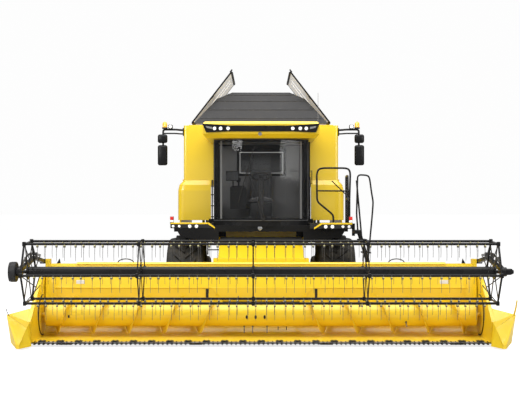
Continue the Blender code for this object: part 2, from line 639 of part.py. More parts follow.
def flighted_half(sides=18, turns=4, inside=0.62, end=3.76, thick=0.007):
    """Half of the auger, open at its middle: a tube with one helical flight.

    Each row runs along the tube at one angle, and climbs over the flight wherever it
    crosses it. Where the last row meets the first, each crossing joins the next one.
    """
    ay, az = FEED_AXIS
    bm = bmesh.new()
    rows = []
    for j in range(sides):
        angle = 2 * pi * j / sides
        marks = [(0.0, FEED_TUBE_R)]
        for k in range(turns + 1):
            x = inside + FLIGHT_PITCH * (j / sides + k)
            marks += [(x, FEED_TUBE_R), (x, FLIGHT_R)]
            marks += [(x + thick, FLIGHT_R), (x + thick, FEED_TUBE_R)]
        marks += [(end, FEED_TUBE_R), (end, 0.04), (3.835, 0.04)]
        y, z = cos(angle), sin(angle)
        rows.append([bm.verts.new((x, ay + r * y, az + r * z)) for x, r in marks])
    for one, two in zip(rows, rows[1:]):
        for i in range(len(one) - 1):
            bm.faces.new((one[i], one[i + 1], two[i + 1], two[i]))
    one, two, n = rows[-1], rows[0], 4 * turns
    bm.faces.new((one[0], one[1], two[5], two[4], two[1], two[0]))
    bm.faces.new(two[1:5])
    for i in range(1, n):
        bm.faces.new((one[i], one[i + 1], two[i + 5], two[i + 4]))
    bm.faces.new((one[n], one[n + 1], one[n + 4], one[n + 5], two[n + 5], two[n + 4]))
    bm.faces.new(one[n + 1:n + 5])
    for i in (n + 5, n + 6):
        bm.faces.new((one[i], one[i + 1], two[i + 1], two[i]))
    bm.faces.new([row[-1] for row in rows])
    return bm


def feed_auger():
    """A tube whose left-handed and right-handed flights sweep towards the middle."""
    half = flighted_half()
    other = bmesh.ops.duplicate(half, geom=half.verts[:] + half.edges[:] + half.faces[:])
    verts = [g for g in other["geom"] if isinstance(g, bmesh.types.BMVert)]
    bmesh.ops.scale(half, vec=(-1, 1, 1), verts=verts)
    bmesh.ops.remove_doubles(half, verts=half.verts, dist=1e-5)
    piece("feed_auger", YELLOW, [closed(half)], origin=(0, *FEED_AXIS))


def hoop(x, centre, angles, radius, half_x, half_r):
    """A six-sided hoop in the plane at x, as one closed ring of square section."""
    y, z = centre
    bm = bmesh.new()
    rows = []
    for a in angles:
        corners = [(x - half_x, radius - half_r), (x + half_x, radius - half_r),
                   (x + half_x, radius + half_r), (x - half_x, radius + half_r)]
        rows.append([bm.verts.new((t, y + r * cos(a), z + r * sin(a))) for t, r in corners])
    for one, two in zip(rows, rows[1:] + rows[:1]):
        for i in range(4):
            j = (i + 1) % 4
            bm.faces.new((one[i], one[j], two[j], two[i]))
    return closed(bm)


def reel():
    """Centre tube, five spiders and six bats, with one turning axis."""
    ry, rz = REEL_AXIS
    tube = disc((0, ry, rz), 0.085, REEL_HALF, "X", 12)
    shapes = [tube, disc((0, ry, rz), 0.03, 3.86, "X", 10)]
    angles = [radians(180 + REEL_TURN + 60 * k) for k in range(6)]
    for x in (-3.78, -1.95, -0.13, 1.70, 3.78):
        for a in angles:
            inner, outer = 0.055, REEL_R - 0.004
            ends = [(x, ry + r * cos(a), rz + r * sin(a)) for r in (inner, outer)]
            shapes.append(bar(ends, 0.012, square=True))
        shapes.append(hoop(x, REEL_AXIS, angles, REEL_R, 0.009, 0.012))
    for a in angles:
        y, z = ry + REEL_R * cos(a), rz + REEL_R * sin(a)
        shapes.append(bar([(-REEL_HALF, y, z), (REEL_HALF, y, z)], 0.021, 6))
    piece("reel", DARK, shapes, origin=(0, ry, rz))


def reel_arms():
    py, pz = ARM_PIVOT
    ry, rz = REEL_AXIS
    arm = bar([(3.92, py, pz), (3.92, -3.4, 1.46), (3.92, ry - 0.12, rz)], 0.032, square=True)
    boss = disc((3.93, py, pz), 0.045, 0.05, "X", 12)
    hub = disc((3.925, ry, rz), 0.075, 0.05, "X", 16)
    case = disc((4.02, ry, rz), 0.16, 0.055, "X", 20)
    motor = block((3.94, ry - 0.05, rz - 0.04), (4.06, ry + 0.05, rz + 0.05))
    pivot = (3.92, py, pz)
    piece("reel_arm_left", DARK, [arm.copy(), boss.copy(), hub.copy(), motor], origin=pivot)
    piece("reel_arm_right", DARK, [mirrored(s) for s in (arm, boss, hub, case)],
          origin=(-3.92, py, pz))


def lift_cylinders():
    """Each header lift cylinder is a bored barrel, and a rod that slides in it."""
    foot = Vector((CYLINDER_X, *CYLINDER_FOOT))
    eye = Vector((CYLINDER_X, *CYLINDER_EYE))
    way = (eye - foot).normalized()
    length = (eye - foot).length
    profile = [(0.0, 0.045), (0.052, 0.045), (0.052, 0.80), (0.034, 0.80), (0.034, 0.12),
               (0.0, 0.12)]
    barrel = turned(profile, (0, 0, 0), "Y", 16)
    rod = turned([(0.0, 0.30), (0.028, 0.30), (0.028, length - 0.03), (0.0, length - 0.03)],
                 (0, 0, 0), "Y", 12)
    lug = disc((0, 0, 0), 0.055, 0.045, "X", 16, inner=0.032)
    tip = disc((0, length, 0), 0.055, 0.045, "X", 16, inner=0.032)
    angle = atan2(way.z, way.y)
    place = Matrix.Translation(foot) @ Matrix.Rotation(angle, 4, "X")
    for part in (barrel, rod, lug, tip):
        bmesh.ops.transform(part, matrix=place, verts=part.verts)
    bore = disc(foot, 0.032, 0.06, "X", 16)
    pair("lift_cylinder_barrel", DARK, [lug, barrel], [bore], origin=tuple(foot))
    pair("lift_cylinder_rod", STEEL, [tip, rod], origin=tuple(eye))


def main():
    for old in list(bpy.data.objects):
        bpy.data.objects.remove(old)
    chassis()
    front_axle()
    rear_axle()
    knuckles()
    wheel("front", (FRONT_TRACK, *FRONT_AXLE), FRONT_TYRE_R, FRONT_TYRE_W, 0.43, 24, 0.02)
    wheel("rear", (REAR_TRACK, *REAR_AXLE), REAR_TYRE_R, REAR_TYRE_W, 0.31, 20, 0.0)
    threshing_body()
    engine()
    straw_hood()
    front_panels()
    grain_tank()
    tank_covers()
    unloading_auger()
    side_shields()
    cab()
    cab_inside()
    platforms()
    ladder()
    mirrors()
    feeder()
    header()
    dividers()
    feed_auger()
    reel()
    reel_arms()
    lift_cylinders()


main()
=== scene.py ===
import json
from math import cos, pi, radians, sin

import bmesh
import bpy
import numpy as np
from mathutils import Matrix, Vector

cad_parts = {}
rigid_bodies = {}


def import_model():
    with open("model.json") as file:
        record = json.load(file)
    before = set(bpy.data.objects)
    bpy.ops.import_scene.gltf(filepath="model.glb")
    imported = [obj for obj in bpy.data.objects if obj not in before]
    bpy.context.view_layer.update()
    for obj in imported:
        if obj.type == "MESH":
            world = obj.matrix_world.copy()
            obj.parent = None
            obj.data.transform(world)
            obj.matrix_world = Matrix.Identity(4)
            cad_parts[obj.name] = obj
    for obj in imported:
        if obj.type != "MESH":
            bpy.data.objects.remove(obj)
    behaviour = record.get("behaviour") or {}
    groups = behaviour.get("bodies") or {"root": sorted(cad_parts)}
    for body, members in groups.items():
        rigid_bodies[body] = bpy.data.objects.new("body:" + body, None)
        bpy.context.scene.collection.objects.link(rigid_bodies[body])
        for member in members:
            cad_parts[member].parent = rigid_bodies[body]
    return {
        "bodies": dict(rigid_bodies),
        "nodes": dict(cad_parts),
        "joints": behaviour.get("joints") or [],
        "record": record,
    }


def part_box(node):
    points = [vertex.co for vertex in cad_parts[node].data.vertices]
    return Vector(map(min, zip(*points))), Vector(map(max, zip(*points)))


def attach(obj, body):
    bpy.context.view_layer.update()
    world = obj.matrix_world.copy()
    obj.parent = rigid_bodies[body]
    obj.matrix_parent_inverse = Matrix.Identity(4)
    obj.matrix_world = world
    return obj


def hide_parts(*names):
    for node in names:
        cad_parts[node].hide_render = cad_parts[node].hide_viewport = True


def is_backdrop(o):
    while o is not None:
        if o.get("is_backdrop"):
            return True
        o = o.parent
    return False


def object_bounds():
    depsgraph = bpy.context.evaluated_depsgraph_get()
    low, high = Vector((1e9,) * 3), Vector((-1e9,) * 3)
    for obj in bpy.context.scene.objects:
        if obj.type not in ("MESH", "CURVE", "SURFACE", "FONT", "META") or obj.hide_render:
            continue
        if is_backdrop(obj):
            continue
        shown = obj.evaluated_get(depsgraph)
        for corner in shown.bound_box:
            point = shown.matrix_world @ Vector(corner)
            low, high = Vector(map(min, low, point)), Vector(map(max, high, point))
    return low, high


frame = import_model()
nodes = frame["nodes"]
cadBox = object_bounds()
print("frame loaded:", len(nodes), "nodes")


# surfaces: each one is an array of points and a list of faces

def gridSurface(points, wrapRows=False, wrapCols=False, capEnds=False):
    # row i joins row i + 1, and column j joins column j + 1
    rows, cols = points.shape[:2]
    index = np.arange(rows * cols).reshape(rows, cols)
    ends = [index[0, ::-1].tolist(), index[-1].tolist()]
    if wrapRows:
        index = np.vstack([index, index[:1]])
    if wrapCols:
        index = np.hstack([index, index[:, :1]])
    quads = np.stack([index[:-1, :-1], index[:-1, 1:], index[1:, 1:], index[1:, :-1]], axis=-1)
    faces = quads.reshape(-1, 4).tolist()
    return points.reshape(-1, 3), faces + (ends if capEnds else [])


def smoothCurve(points, steps=6):
    # a curve through the points: each stretch mixes its four nearest points by cubic weights
    p = np.asarray(points, float)
    p = np.vstack([2 * p[0] - p[1], p, 2 * p[-1] - p[-2]])
    t = np.linspace(0, 1, steps, endpoint=False)[:, None]
    a, b, c, d = (p[i:len(p) - 3 + i, None, :] for i in range(4))
    curve = 0.5 * (2 * b + (c - a) * t + (2 * a - 5 * b + 4 * c - d) * t**2
                   + (3 * b - a - 3 * c + d) * t**3)
    return np.vstack([curve.reshape(-1, p.shape[1]), p[-2]])


def roundedPath(corners, radius=0.06, steps=5):
    # straight runs, with each corner cut by a parabola that starts radius before it
    p = np.asarray(corners, float)
    before, corner, after = p[:-2], p[1:-1], p[2:]
    # a corner uses just under half of each run, so that two of them never meet
    most = 0.48
    reach = [np.minimum(radius, most * np.linalg.norm(q - corner, axis=1))
             for q in (before, after)]
    start, end = (corner + (q - corner) * (r / np.linalg.norm(q - corner, axis=1))[:, None]
                  for q, r in zip((before, after), reach))
    t = np.linspace(0, 1, steps)[:, None]
    bends = (start[:, None] * (1 - t) ** 2 + corner[:, None] * 2 * t * (1 - t)
             + end[:, None] * t**2)
    return np.vstack([p[:1], bends.reshape(-1, 3), p[-1:]])


def tubeSurface(path, radius, sides=10, flat=1.0, wrap=False):
    # circles of the given radius, square to the path; flat squeezes them across its plane
    path = np.asarray(path, float)
    along = np.roll(path, -1, 0) - np.roll(path, 1, 0) if wrap else np.gradient(path, axis=0)
    along /= np.linalg.norm(along, axis=1)[:, None]
    normal = np.linalg.svd(path - path.mean(0))[2][-1]
    side = np.cross(along, normal)
    side /= np.linalg.norm(side, axis=1)[:, None]
    up = np.cross(side, along)
    a = np.linspace(0, 2 * pi, sides, endpoint=False)
    radius = np.broadcast_to(radius, len(path))[:, None, None]
    ring = side[:, None] * np.cos(a)[:, None] + flat * up[:, None] * np.sin(a)[:, None]
    return gridSurface(path[:, None] + radius * ring, wrap, True, not wrap)


def turnedSurface(profile, centre, axis="X", sides=40, wrap=True):
    # a profile of (radius, distance along the axis), turned round the axis
    profile = np.asarray(profile, float)
    a = np.linspace(0, 2 * pi, sides, endpoint=False)
    c, s = profile[:, :1] * np.cos(a), profile[:, :1] * np.sin(a)
    t = np.broadcast_to(profile[:, 1:], c.shape)
    parts = {"X": (t, c, s), "Y": (s, t, c), "Z": (c, s, t)}[axis]
    return gridSurface(np.stack(parts, -1) + np.asarray(centre, float), wrap, True)


def prismSurface(outline, axis, low, high):
    # an outline of two coordinates, carried along an axis
    flat = np.asarray(outline, float)
    order = {"X": (2, 0, 1), "Y": (0, 2, 1), "Z": (0, 1, 2)}[axis]
    rings = [np.column_stack([flat, np.full(len(flat), t)])[:, order] for t in (low, high)]
    return gridSurface(np.array(rings), wrapCols=True, capEnds=True)


def roundedBox(low, high, radius=0.01, rows=4, cols=8):
    # a ball's points, each pushed from the middle by the box's inner half sizes
    low, high = np.asarray(low, float), np.asarray(high, float)
    half = (high - low) / 2
    radius = np.minimum(radius, 0.98 * half)
    v = (np.arange(rows) + 0.5) / rows * pi - pi / 2
    u = (np.arange(cols) + 0.5) / cols * 2 * pi
    ball = np.stack([np.outer(np.cos(v), np.cos(u)), np.outer(np.cos(v), np.sin(u)),
                     np.outer(np.sin(v), np.ones(cols))], -1)
    ball /= np.abs(ball).max(axis=(0, 1))
    return gridSurface((low + high) / 2 + ball * radius + np.sign(ball) * (half - radius),
                       wrapCols=True, capEnds=True)


def copiesOf(surface, places):
    # the same surface at each place
    points, faces = surface
    places = np.atleast_2d(places)
    step = len(points)
    moved = (places[:, None] + points).reshape(-1, 3)
    return moved, [[i + k * step for i in face] for k in range(len(places)) for face in faces]


def aboutAxis(surface, centre, degrees, axis="X"):
    # the surface turned round an axis through the centre, once for each angle
    points, faces = surface
    angles = np.radians(np.atleast_1d(degrees).astype(float))
    one, two = {"X": (1, 2), "Y": (2, 0), "Z": (0, 1)}[axis]
    local = points - np.asarray(centre, float)
    many = np.repeat(local[None], len(angles), 0)
    c, s = np.cos(angles)[:, None], np.sin(angles)[:, None]
    many[:, :, one] = c * local[:, one] - s * local[:, two]
    many[:, :, two] = s * local[:, one] + c * local[:, two]
    step = len(points)
    faces = [[i + k * step for i in face] for k in range(len(angles)) for face in faces]
    return (many + np.asarray(centre, float)).reshape(-1, 3), faces


def onRight(surface):
    # the same surface on the machine's right, at negative X
    points, faces = surface
    return points * (-1, 1, 1), [face[::-1] for face in faces]


def bothSides(surfaces):
    return [*surfaces, *[onRight(s) for s in surfaces]]


def makePiece(name, surfaces, material, body, stands=(), smooth=35.0, bevel=0.0):
    # one closed mesh from all the surfaces, with its faces turned outwards
    points, faces, start = [], [], 0
    for p, f in surfaces:
        points.append(p)
        faces += [[i + start for i in face] for face in f]
        start += len(p)
    mesh = bpy.data.meshes.new(name)
    mesh.from_pydata(np.vstack(points), [], faces)
    shape = bmesh.new()
    shape.from_mesh(mesh)
    bmesh.ops.remove_doubles(shape, verts=shape.verts, dist=1e-6)
    bmesh.ops.recalc_face_normals(shape, faces=shape.faces)
    shape.to_mesh(mesh)
    shape.free()
    mesh.shade_smooth()
    mesh.set_sharp_from_angle(angle=radians(smooth))
    mesh.materials.append(material)
    piece = bpy.data.objects.new(name, mesh)
    bpy.context.scene.collection.objects.link(piece)
    if bevel:
        edge = piece.modifiers.new("edge", "BEVEL")
        edge.width, edge.segments, edge.limit_method = bevel, 2, "ANGLE"
    if stands:
        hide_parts(*stands)
    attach(piece, body)
    return piece


# shader groups, built once and used by several materials

def newGroup(name, inputs, outputs):
    group = bpy.data.node_groups.new(name, "ShaderNodeTree")
    for socketName, kind, value in inputs:
        socket = group.interface.new_socket(socketName, in_out="INPUT", socket_type=kind)
        if value is not None:
            socket.default_value = value
    for socketName, kind in outputs:
        group.interface.new_socket(socketName, in_out="OUTPUT", socket_type=kind)
    return group, group.nodes.new("NodeGroupInput"), group.nodes.new("NodeGroupOutput")


def addNode(tree, kind, links=(), **values):
    # links are pairs of (socket, source); other values are set on sockets or properties
    node = tree.nodes.new(kind)
    for key, value in values.items():
        if hasattr(node, key):
            setattr(node, key, value)
        else:
            node.inputs[key.replace("_", " ")].default_value = value
    for socket, source in links:
        tree.links.new(source, node.inputs[socket])
    return node


def edgeWearGroup():
    # wear is where the rounded normal leaves the flat one, broken up by noise
    group, given, result = newGroup(
        "edgeWear",
        [("Radius", "NodeSocketFloat", 0.004), ("Amount", "NodeSocketFloat", 0.5),
         ("Scale", "NodeSocketFloat", 14.0)],
        [("Wear", "NodeSocketFloat"), ("Normal", "NodeSocketVector")])
    place = addNode(group, "ShaderNodeTexCoord")
    rounded = addNode(group, "ShaderNodeBevel", [("Radius", given.outputs["Radius"])], samples=4)
    surface = addNode(group, "ShaderNodeNewGeometry")
    likeness = addNode(group, "ShaderNodeVectorMath",
                       [(0, rounded.outputs["Normal"]), (1, surface.outputs["Normal"])],
                       operation="DOT_PRODUCT")
    noise = addNode(group, "ShaderNodeTexNoise",
                    [("Vector", place.outputs["Object"]), ("Scale", given.outputs["Scale"])],
                    Detail=4.0, Roughness=0.7)
    edge = addNode(group, "ShaderNodeMapRange", [("Value", likeness.outputs["Value"])],
                   **{"From Min": 0.995, "From Max": 0.90})
    broken = addNode(group, "ShaderNodeMapRange", [("Value", noise.outputs["Fac"])],
                     **{"From Min": 0.50, "From Max": 0.66})
    both = addNode(group, "ShaderNodeMath", [(0, edge.outputs["Result"]),
                                             (1, broken.outputs["Result"])], operation="MULTIPLY")
    wear = addNode(group, "ShaderNodeMath", [(0, both.outputs[0]),
                                             (1, given.outputs["Amount"])], operation="MULTIPLY")
    group.links.new(wear.outputs[0], result.inputs["Wear"])
    group.links.new(rounded.outputs["Normal"], result.inputs["Normal"])
    return group


def dustGroup():
    # dust lies where the surface looks up, and thins out with height above the ground
    group, given, result = newGroup(
        "fieldDust",
        [("Amount", "NodeSocketFloat", 0.3), ("Top", "NodeSocketFloat", 1.6),
         ("Scale", "NodeSocketFloat", 5.0)],
        [("Dust", "NodeSocketFloat")])
    place = addNode(group, "ShaderNodeTexCoord")
    surface = addNode(group, "ShaderNodeNewGeometry")
    facing = addNode(group, "ShaderNodeSeparateXYZ", [("Vector", surface.outputs["Normal"])])
    height = addNode(group, "ShaderNodeSeparateXYZ", [("Vector", place.outputs["Object"])])
    noise = addNode(group, "ShaderNodeTexNoise",
                    [("Vector", place.outputs["Object"]), ("Scale", given.outputs["Scale"])],
                    Detail=6.0, Roughness=0.65)
    up = addNode(group, "ShaderNodeMapRange", [("Value", facing.outputs["Z"])],
                 **{"From Min": -0.2, "From Max": 1.0, "To Min": 0.15})
    low = addNode(group, "ShaderNodeMapRange", [("Value", height.outputs["Z"]),
                                                ("From Max", given.outputs["Top"])],
                  **{"To Min": 1.0, "To Max": 0.0})
    grit = addNode(group, "ShaderNodeMapRange", [("Value", noise.outputs["Fac"])],
                   **{"From Min": 0.38, "From Max": 0.68})
    value = up.outputs["Result"]
    for source in (low.outputs["Result"], grit.outputs["Result"], given.outputs["Amount"]):
        value = addNode(group, "ShaderNodeMath", [(0, value), (1, source)],
                        operation="MULTIPLY").outputs[0]
    group.links.new(value, result.inputs["Dust"])
    return group


def mottleGroup():
    # a slow noise for the tone and a fine one for the skin of the paint or plastic
    group, given, result = newGroup(
        "mottle",
        [("Slow", "NodeSocketFloat", 1.5), ("Fine", "NodeSocketFloat", 220.0)],
        [("Tone", "NodeSocketFloat"), ("Skin", "NodeSocketFloat")])
    place = addNode(group, "ShaderNodeTexCoord")
    for key, output, detail in (("Slow", "Tone", 3.0), ("Fine", "Skin", 2.0)):
        noise = addNode(group, "ShaderNodeTexNoise",
                        [("Vector", place.outputs["Object"]), ("Scale", given.outputs[key])],
                        Detail=detail, Roughness=0.55)
        group.links.new(noise.outputs["Fac"], result.inputs[output])
    return group


edgeWear, fieldDust, mottle = edgeWearGroup(), dustGroup(), mottleGroup()


def surfaceMaterial(name, look):
    # paint, plastic or metal: two tones, worn edges, dust, uneven gloss and a fine skin
    material = bpy.data.materials.new(name)
    material.use_nodes = True
    tree = material.node_tree
    shader = tree.nodes["Principled BSDF"]
    shader.inputs["Metallic"].default_value = look.get("metallic", 0.0)
    shader.inputs["Coat Weight"].default_value = look.get("coat", 0.0)
    shader.inputs["Coat Roughness"].default_value = look.get("coatRoughness", 0.08)
    shader.inputs["Specular IOR Level"].default_value = look.get("specular", 0.5)
    tones = addNode(tree, "ShaderNodeGroup", node_tree=mottle, Slow=look.get("slow", 1.5),
                    Fine=look.get("fine", 260.0))
    wear = addNode(tree, "ShaderNodeGroup", node_tree=edgeWear, Radius=look.get("edge", 0.006),
                   Amount=look.get("wear", 0.4))
    dust = addNode(tree, "ShaderNodeGroup", node_tree=fieldDust, Amount=look.get("dust", 0.2),
                   Top=look.get("dustTop", 1.8))

    def mixed(mask, first, second, linked=None):
        mix = addNode(tree, "ShaderNodeMix", [("Factor", mask)], data_type="RGBA")
        mix.inputs["A"].default_value = (*first, 1.0) if first else (1, 1, 1, 1)
        if linked:
            tree.links.new(linked, mix.inputs["A"])
        mix.inputs["B"].default_value = (*second, 1.0)
        return mix.outputs["Result"]

    colour = mixed(tones.outputs["Tone"], look["colour"], look.get("tone", look["colour"]))
    colour = mixed(wear.outputs["Wear"], None, look.get("bare", (0.32, 0.31, 0.29)), colour)
    colour = mixed(dust.outputs["Dust"], None, look.get("dustColour", (0.36, 0.30, 0.21)), colour)
    tree.links.new(colour, shader.inputs["Base Color"])
    low, high = look["roughness"]
    gloss = addNode(tree, "ShaderNodeMapRange", [("Value", tones.outputs["Tone"])],
                    **{"From Min": 0.3, "From Max": 0.7, "To Min": low, "To Max": high})
    matt = addNode(tree, "ShaderNodeMath", [(0, gloss.outputs["Result"]),
                                            (1, dust.outputs["Dust"])], operation="MAXIMUM")
    tree.links.new(matt.outputs[0], shader.inputs["Roughness"])
    bump = addNode(tree, "ShaderNodeBump", [("Height", tones.outputs["Skin"]),
                                            ("Normal", wear.outputs["Normal"])],
                   Strength=look.get("bump", 0.06), Distance=look.get("depth", 0.002))
    tree.links.new(bump.outputs["Normal"], shader.inputs["Normal"])
    return material


looks = {
    "enamelYellow": {"colour": (0.84, 0.585, 0.016), "tone": (0.80, 0.54, 0.012), "coat": 0.6,
                     "roughness": (0.28, 0.36), "wear": 0.15, "dust": 0.10, "bump": 0.03},
    "headerYellow": {"colour": (0.85, 0.590, 0.014), "tone": (0.80, 0.54, 0.010), "coat": 0.35,
                     "roughness": (0.34, 0.44), "wear": 0.35, "dust": 0.12, "dustTop": 0.9},
    "rimYellow": {"colour": (0.84, 0.55, 0.014), "tone": (0.78, 0.49, 0.010), "coat": 0.4,
                  "roughness": (0.34, 0.44), "dust": 0.5, "dustTop": 1.4},
    "satinBlack": {"colour": (0.006, 0.006, 0.0065), "tone": (0.010, 0.010, 0.010),
                   "roughness": (0.24, 0.34), "wear": 0.25, "dust": 0.06, "edge": 0.003,
                   "specular": 0.20},
    "chassisBlack": {"colour": (0.016, 0.016, 0.017), "tone": (0.026, 0.025, 0.024),
                     "roughness": (0.5, 0.66), "wear": 0.3, "dust": 0.3, "bump": 0.2,
                     "fine": 120.0, "specular": 0.2},
    "charcoalSheet": {"colour": (0.016, 0.016, 0.018), "tone": (0.024, 0.024, 0.026),
                      "specular": 0.35,
                      "roughness": (0.42, 0.52), "wear": 0.4, "dust": 0.1, "dustTop": 6.0},
    "blackPlastic": {"colour": (0.016, 0.016, 0.017), "tone": (0.022, 0.022, 0.022),
                     "roughness": (0.42, 0.55), "wear": 0.05, "dust": 0.04, "bump": 0.25,
                     "specular": 0.25,
                     "fine": 420.0, "edge": 0.004},
    "tyreRubber": {"colour": (0.013, 0.013, 0.013), "tone": (0.026, 0.025, 0.022),
                   "specular": 0.25,
                   "roughness": (0.62, 0.80), "wear": 0.3, "bare": (0.07, 0.065, 0.06),
                   "dust": 0.9, "dustTop": 1.7, "bump": 0.3, "fine": 90.0, "edge": 0.008},
    "brightSteel": {"colour": (0.52, 0.53, 0.55), "tone": (0.40, 0.40, 0.41), "metallic": 1.0,
                    "roughness": (0.22, 0.38), "wear": 0.0, "dust": 0.2},
    "chromeRod": {"colour": (0.75, 0.76, 0.78), "tone": (0.66, 0.67, 0.69), "metallic": 1.0,
                  "roughness": (0.06, 0.14), "wear": 0.0, "dust": 0.1},
    "springSteel": {"colour": (0.10, 0.10, 0.10), "tone": (0.18, 0.17, 0.16), "metallic": 0.7,
                    "roughness": (0.35, 0.5), "wear": 0.0, "dust": 0.2},
    "paleSheet": {"colour": (0.78, 0.78, 0.77), "tone": (0.72, 0.72, 0.71),
                  "roughness": (0.45, 0.6), "wear": 0.0, "dust": 0.0},
    "clipPlastic": {"colour": (0.62, 0.58, 0.30), "tone": (0.52, 0.47, 0.22),
                    "roughness": (0.4, 0.5), "wear": 0.0, "dust": 0.2},
    "greyTrim": {"colour": (0.16, 0.16, 0.16), "tone": (0.20, 0.20, 0.20),
                 "roughness": (0.4, 0.55), "wear": 0.0, "dust": 0.05, "fine": 420.0},
    "beltRubber": {"colour": (0.03, 0.03, 0.03), "tone": (0.05, 0.05, 0.05),
                   "roughness": (0.6, 0.75), "wear": 0.2, "dust": 0.4},
}
finish = {name: surfaceMaterial(name, look) for name, look in looks.items()}


def glassMaterial(name, colour, alpha, roughness=0.03):
    # thin tinted glass: see-through by its alpha, with a patchy film in its alpha and roughness
    material = bpy.data.materials.new(name)
    material.use_nodes = True
    tree = material.node_tree
    shader = tree.nodes["Principled BSDF"]
    shader.inputs["Base Color"].default_value = (*colour, 1.0)
    shader.inputs["Specular IOR Level"].default_value = 0.7
    tones = addNode(tree, "ShaderNodeGroup", node_tree=mottle, Slow=2.5, Fine=30.0)
    smear = addNode(tree, "ShaderNodeMapRange", [("Value", tones.outputs["Tone"])],
                    **{"From Min": 0.35, "From Max": 0.75, "To Min": roughness,
                       "To Max": roughness + 0.06})
    tree.links.new(smear.outputs["Result"], shader.inputs["Roughness"])
    film = addNode(tree, "ShaderNodeMapRange", [("Value", tones.outputs["Tone"])],
                   **{"From Min": 0.3, "From Max": 0.8, "To Min": alpha, "To Max": alpha + 0.06})
    tree.links.new(film.outputs["Result"], shader.inputs["Alpha"])
    return material


def lampMaterial(name, colour, glow, roughness=0.12):
    # a moulded lens: fine upright ribs, lit a little from within
    material = bpy.data.materials.new(name)
    material.use_nodes = True
    tree = material.node_tree
    shader = tree.nodes["Principled BSDF"]
    shader.inputs["Base Color"].default_value = (*colour, 1.0)
    shader.inputs["Roughness"].default_value = roughness
    shader.inputs["Coat Weight"].default_value = 0.8
    shader.inputs["Emission Color"].default_value = (*colour, 1.0)
    shader.inputs["Emission Strength"].default_value = glow
    place = addNode(tree, "ShaderNodeTexCoord")
    ribs = addNode(tree, "ShaderNodeTexWave", [("Vector", place.outputs["Object"])],
                   Scale=40.0, Distortion=0.4)
    bump = addNode(tree, "ShaderNodeBump", [("Height", ribs.outputs["Fac"])],
                   Strength=0.35, Distance=0.002)
    tree.links.new(bump.outputs["Normal"], shader.inputs["Normal"])
    return material


tintedGlass = glassMaterial("tintedGlass", (0.012, 0.013, 0.014), 0.14)
rearGlass = glassMaterial("rearGlass", (0.010, 0.011, 0.012), 0.86)
whiteLens = lampMaterial("whiteLens", (0.88, 0.88, 0.86), 0.35)
amberLens = lampMaterial("amberLens", (0.90, 0.42, 0.03), 0.35)
redLens = lampMaterial("redLens", (0.62, 0.02, 0.015), 0.15)
mirrorFace = surfaceMaterial("mirrorFace", {
    "colour": (0.80, 0.82, 0.83), "tone": (0.76, 0.78, 0.80), "metallic": 1.0,
    "roughness": (0.02, 0.05), "wear": 0.0, "dust": 0.05})
print("materials made")


def standing():
    # pale floor, soft lamps, a white surround and the camera
    studio = {"floorTone": (0.55, 0.55, 0.55), "eye": (-0.02, -21.5, 2.3), "lens": 72.55,
              "reach": 400.0, "floorLift": 0.79, "surround": 0.36, "backdrop": 0.985}
    run = np.linspace(-studio["reach"], studio["reach"], 21)
    points = np.stack(np.broadcast_arrays(run[None], run[:, None], 0.0), -1)
    verts, faces = gridSurface(points)
    mesh = bpy.data.meshes.new("floor")
    mesh.from_pydata(verts, [], faces)
    mesh.shade_smooth()
    floor = bpy.data.objects.new("floor", mesh)
    paper = bpy.data.materials.new("floorPaper")
    paper.use_nodes = True
    sheetShader = paper.node_tree.nodes["Principled BSDF"]
    sheetShader.inputs["Base Color"].default_value = (*studio["floorTone"], 1.0)
    sheetShader.inputs["Roughness"].default_value = 0.9
    sheetShader.inputs["Emission Color"].default_value = (1, 1, 1, 1)
    viewed = addNode(paper.node_tree, "ShaderNodeLightPath")
    lift = addNode(paper.node_tree, "ShaderNodeMath", [(0, viewed.outputs["Is Camera Ray"])],
                   operation="MULTIPLY")
    lift.inputs[1].default_value = studio["floorLift"]
    paper.node_tree.links.new(lift.outputs["Value"], sheetShader.inputs["Emission Strength"])
    mesh.materials.append(paper)
    bpy.context.scene.collection.objects.link(floor)
    floor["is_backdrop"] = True

    lamps = {  # place, aim, size, power
        "overhead": ((0.0, -4.0, 11.0), (0, -1.0, 0.0), (16.0, 12.0), 2100.0),
        "keyLeft": ((-9.5, -13.0, 6.5), (0, -1.5, 1.6), (6.0, 4.5), 820.0),
        "fillRight": ((10.0, -12.0, 5.5), (0, -1.5, 1.6), (6.0, 4.5), 520.0),
        "lowFront": ((0.0, -19.0, 3.2), (0, -3.0, 1.0), (12.0, 2.0), 60.0),
        "behind": ((0.0, 12.0, 9.0), (0, 1.0, 2.0), (12.0, 5.0), 200.0),
    }
    for name, (place, aim, size, power) in lamps.items():
        light = bpy.data.lights.new(name, "AREA")
        light.shape, (light.size, light.size_y) = "RECTANGLE", size
        light.energy = power
        lamp = bpy.data.objects.new(name, light)
        lamp.location = place
        away = lamp.location - type(lamp.location)(aim)
        lamp.rotation_euler = away.to_track_quat("Z", "Y").to_euler()
        bpy.context.scene.collection.objects.link(lamp)
    world = bpy.data.worlds.new("studio")
    world.use_nodes = True
    sky = world.node_tree
    sky.nodes["Background"].inputs["Color"].default_value = (1, 1, 1, 1)
    seen = addNode(sky, "ShaderNodeLightPath")
    strength = addNode(sky, "ShaderNodeMapRange", [("Value", seen.outputs["Is Camera Ray"])],
                       **{"To Min": studio["surround"], "To Max": studio["backdrop"]})
    sky.links.new(strength.outputs["Result"], sky.nodes["Background"].inputs["Strength"])
    bpy.context.scene.world = world
    eye = bpy.data.cameras.new("camera")
    eye.lens, eye.sensor_width, eye.clip_end = studio["lens"], 36.0, 900.0
    camera = bpy.data.objects.new("camera", eye)
    camera.location = studio["eye"]
    camera.rotation_euler = (radians(90), 0, 0)
    bpy.context.scene.collection.objects.link(camera)
    bpy.context.scene.camera = camera
    bpy.context.scene.view_settings.view_transform = "Standard"


standing()

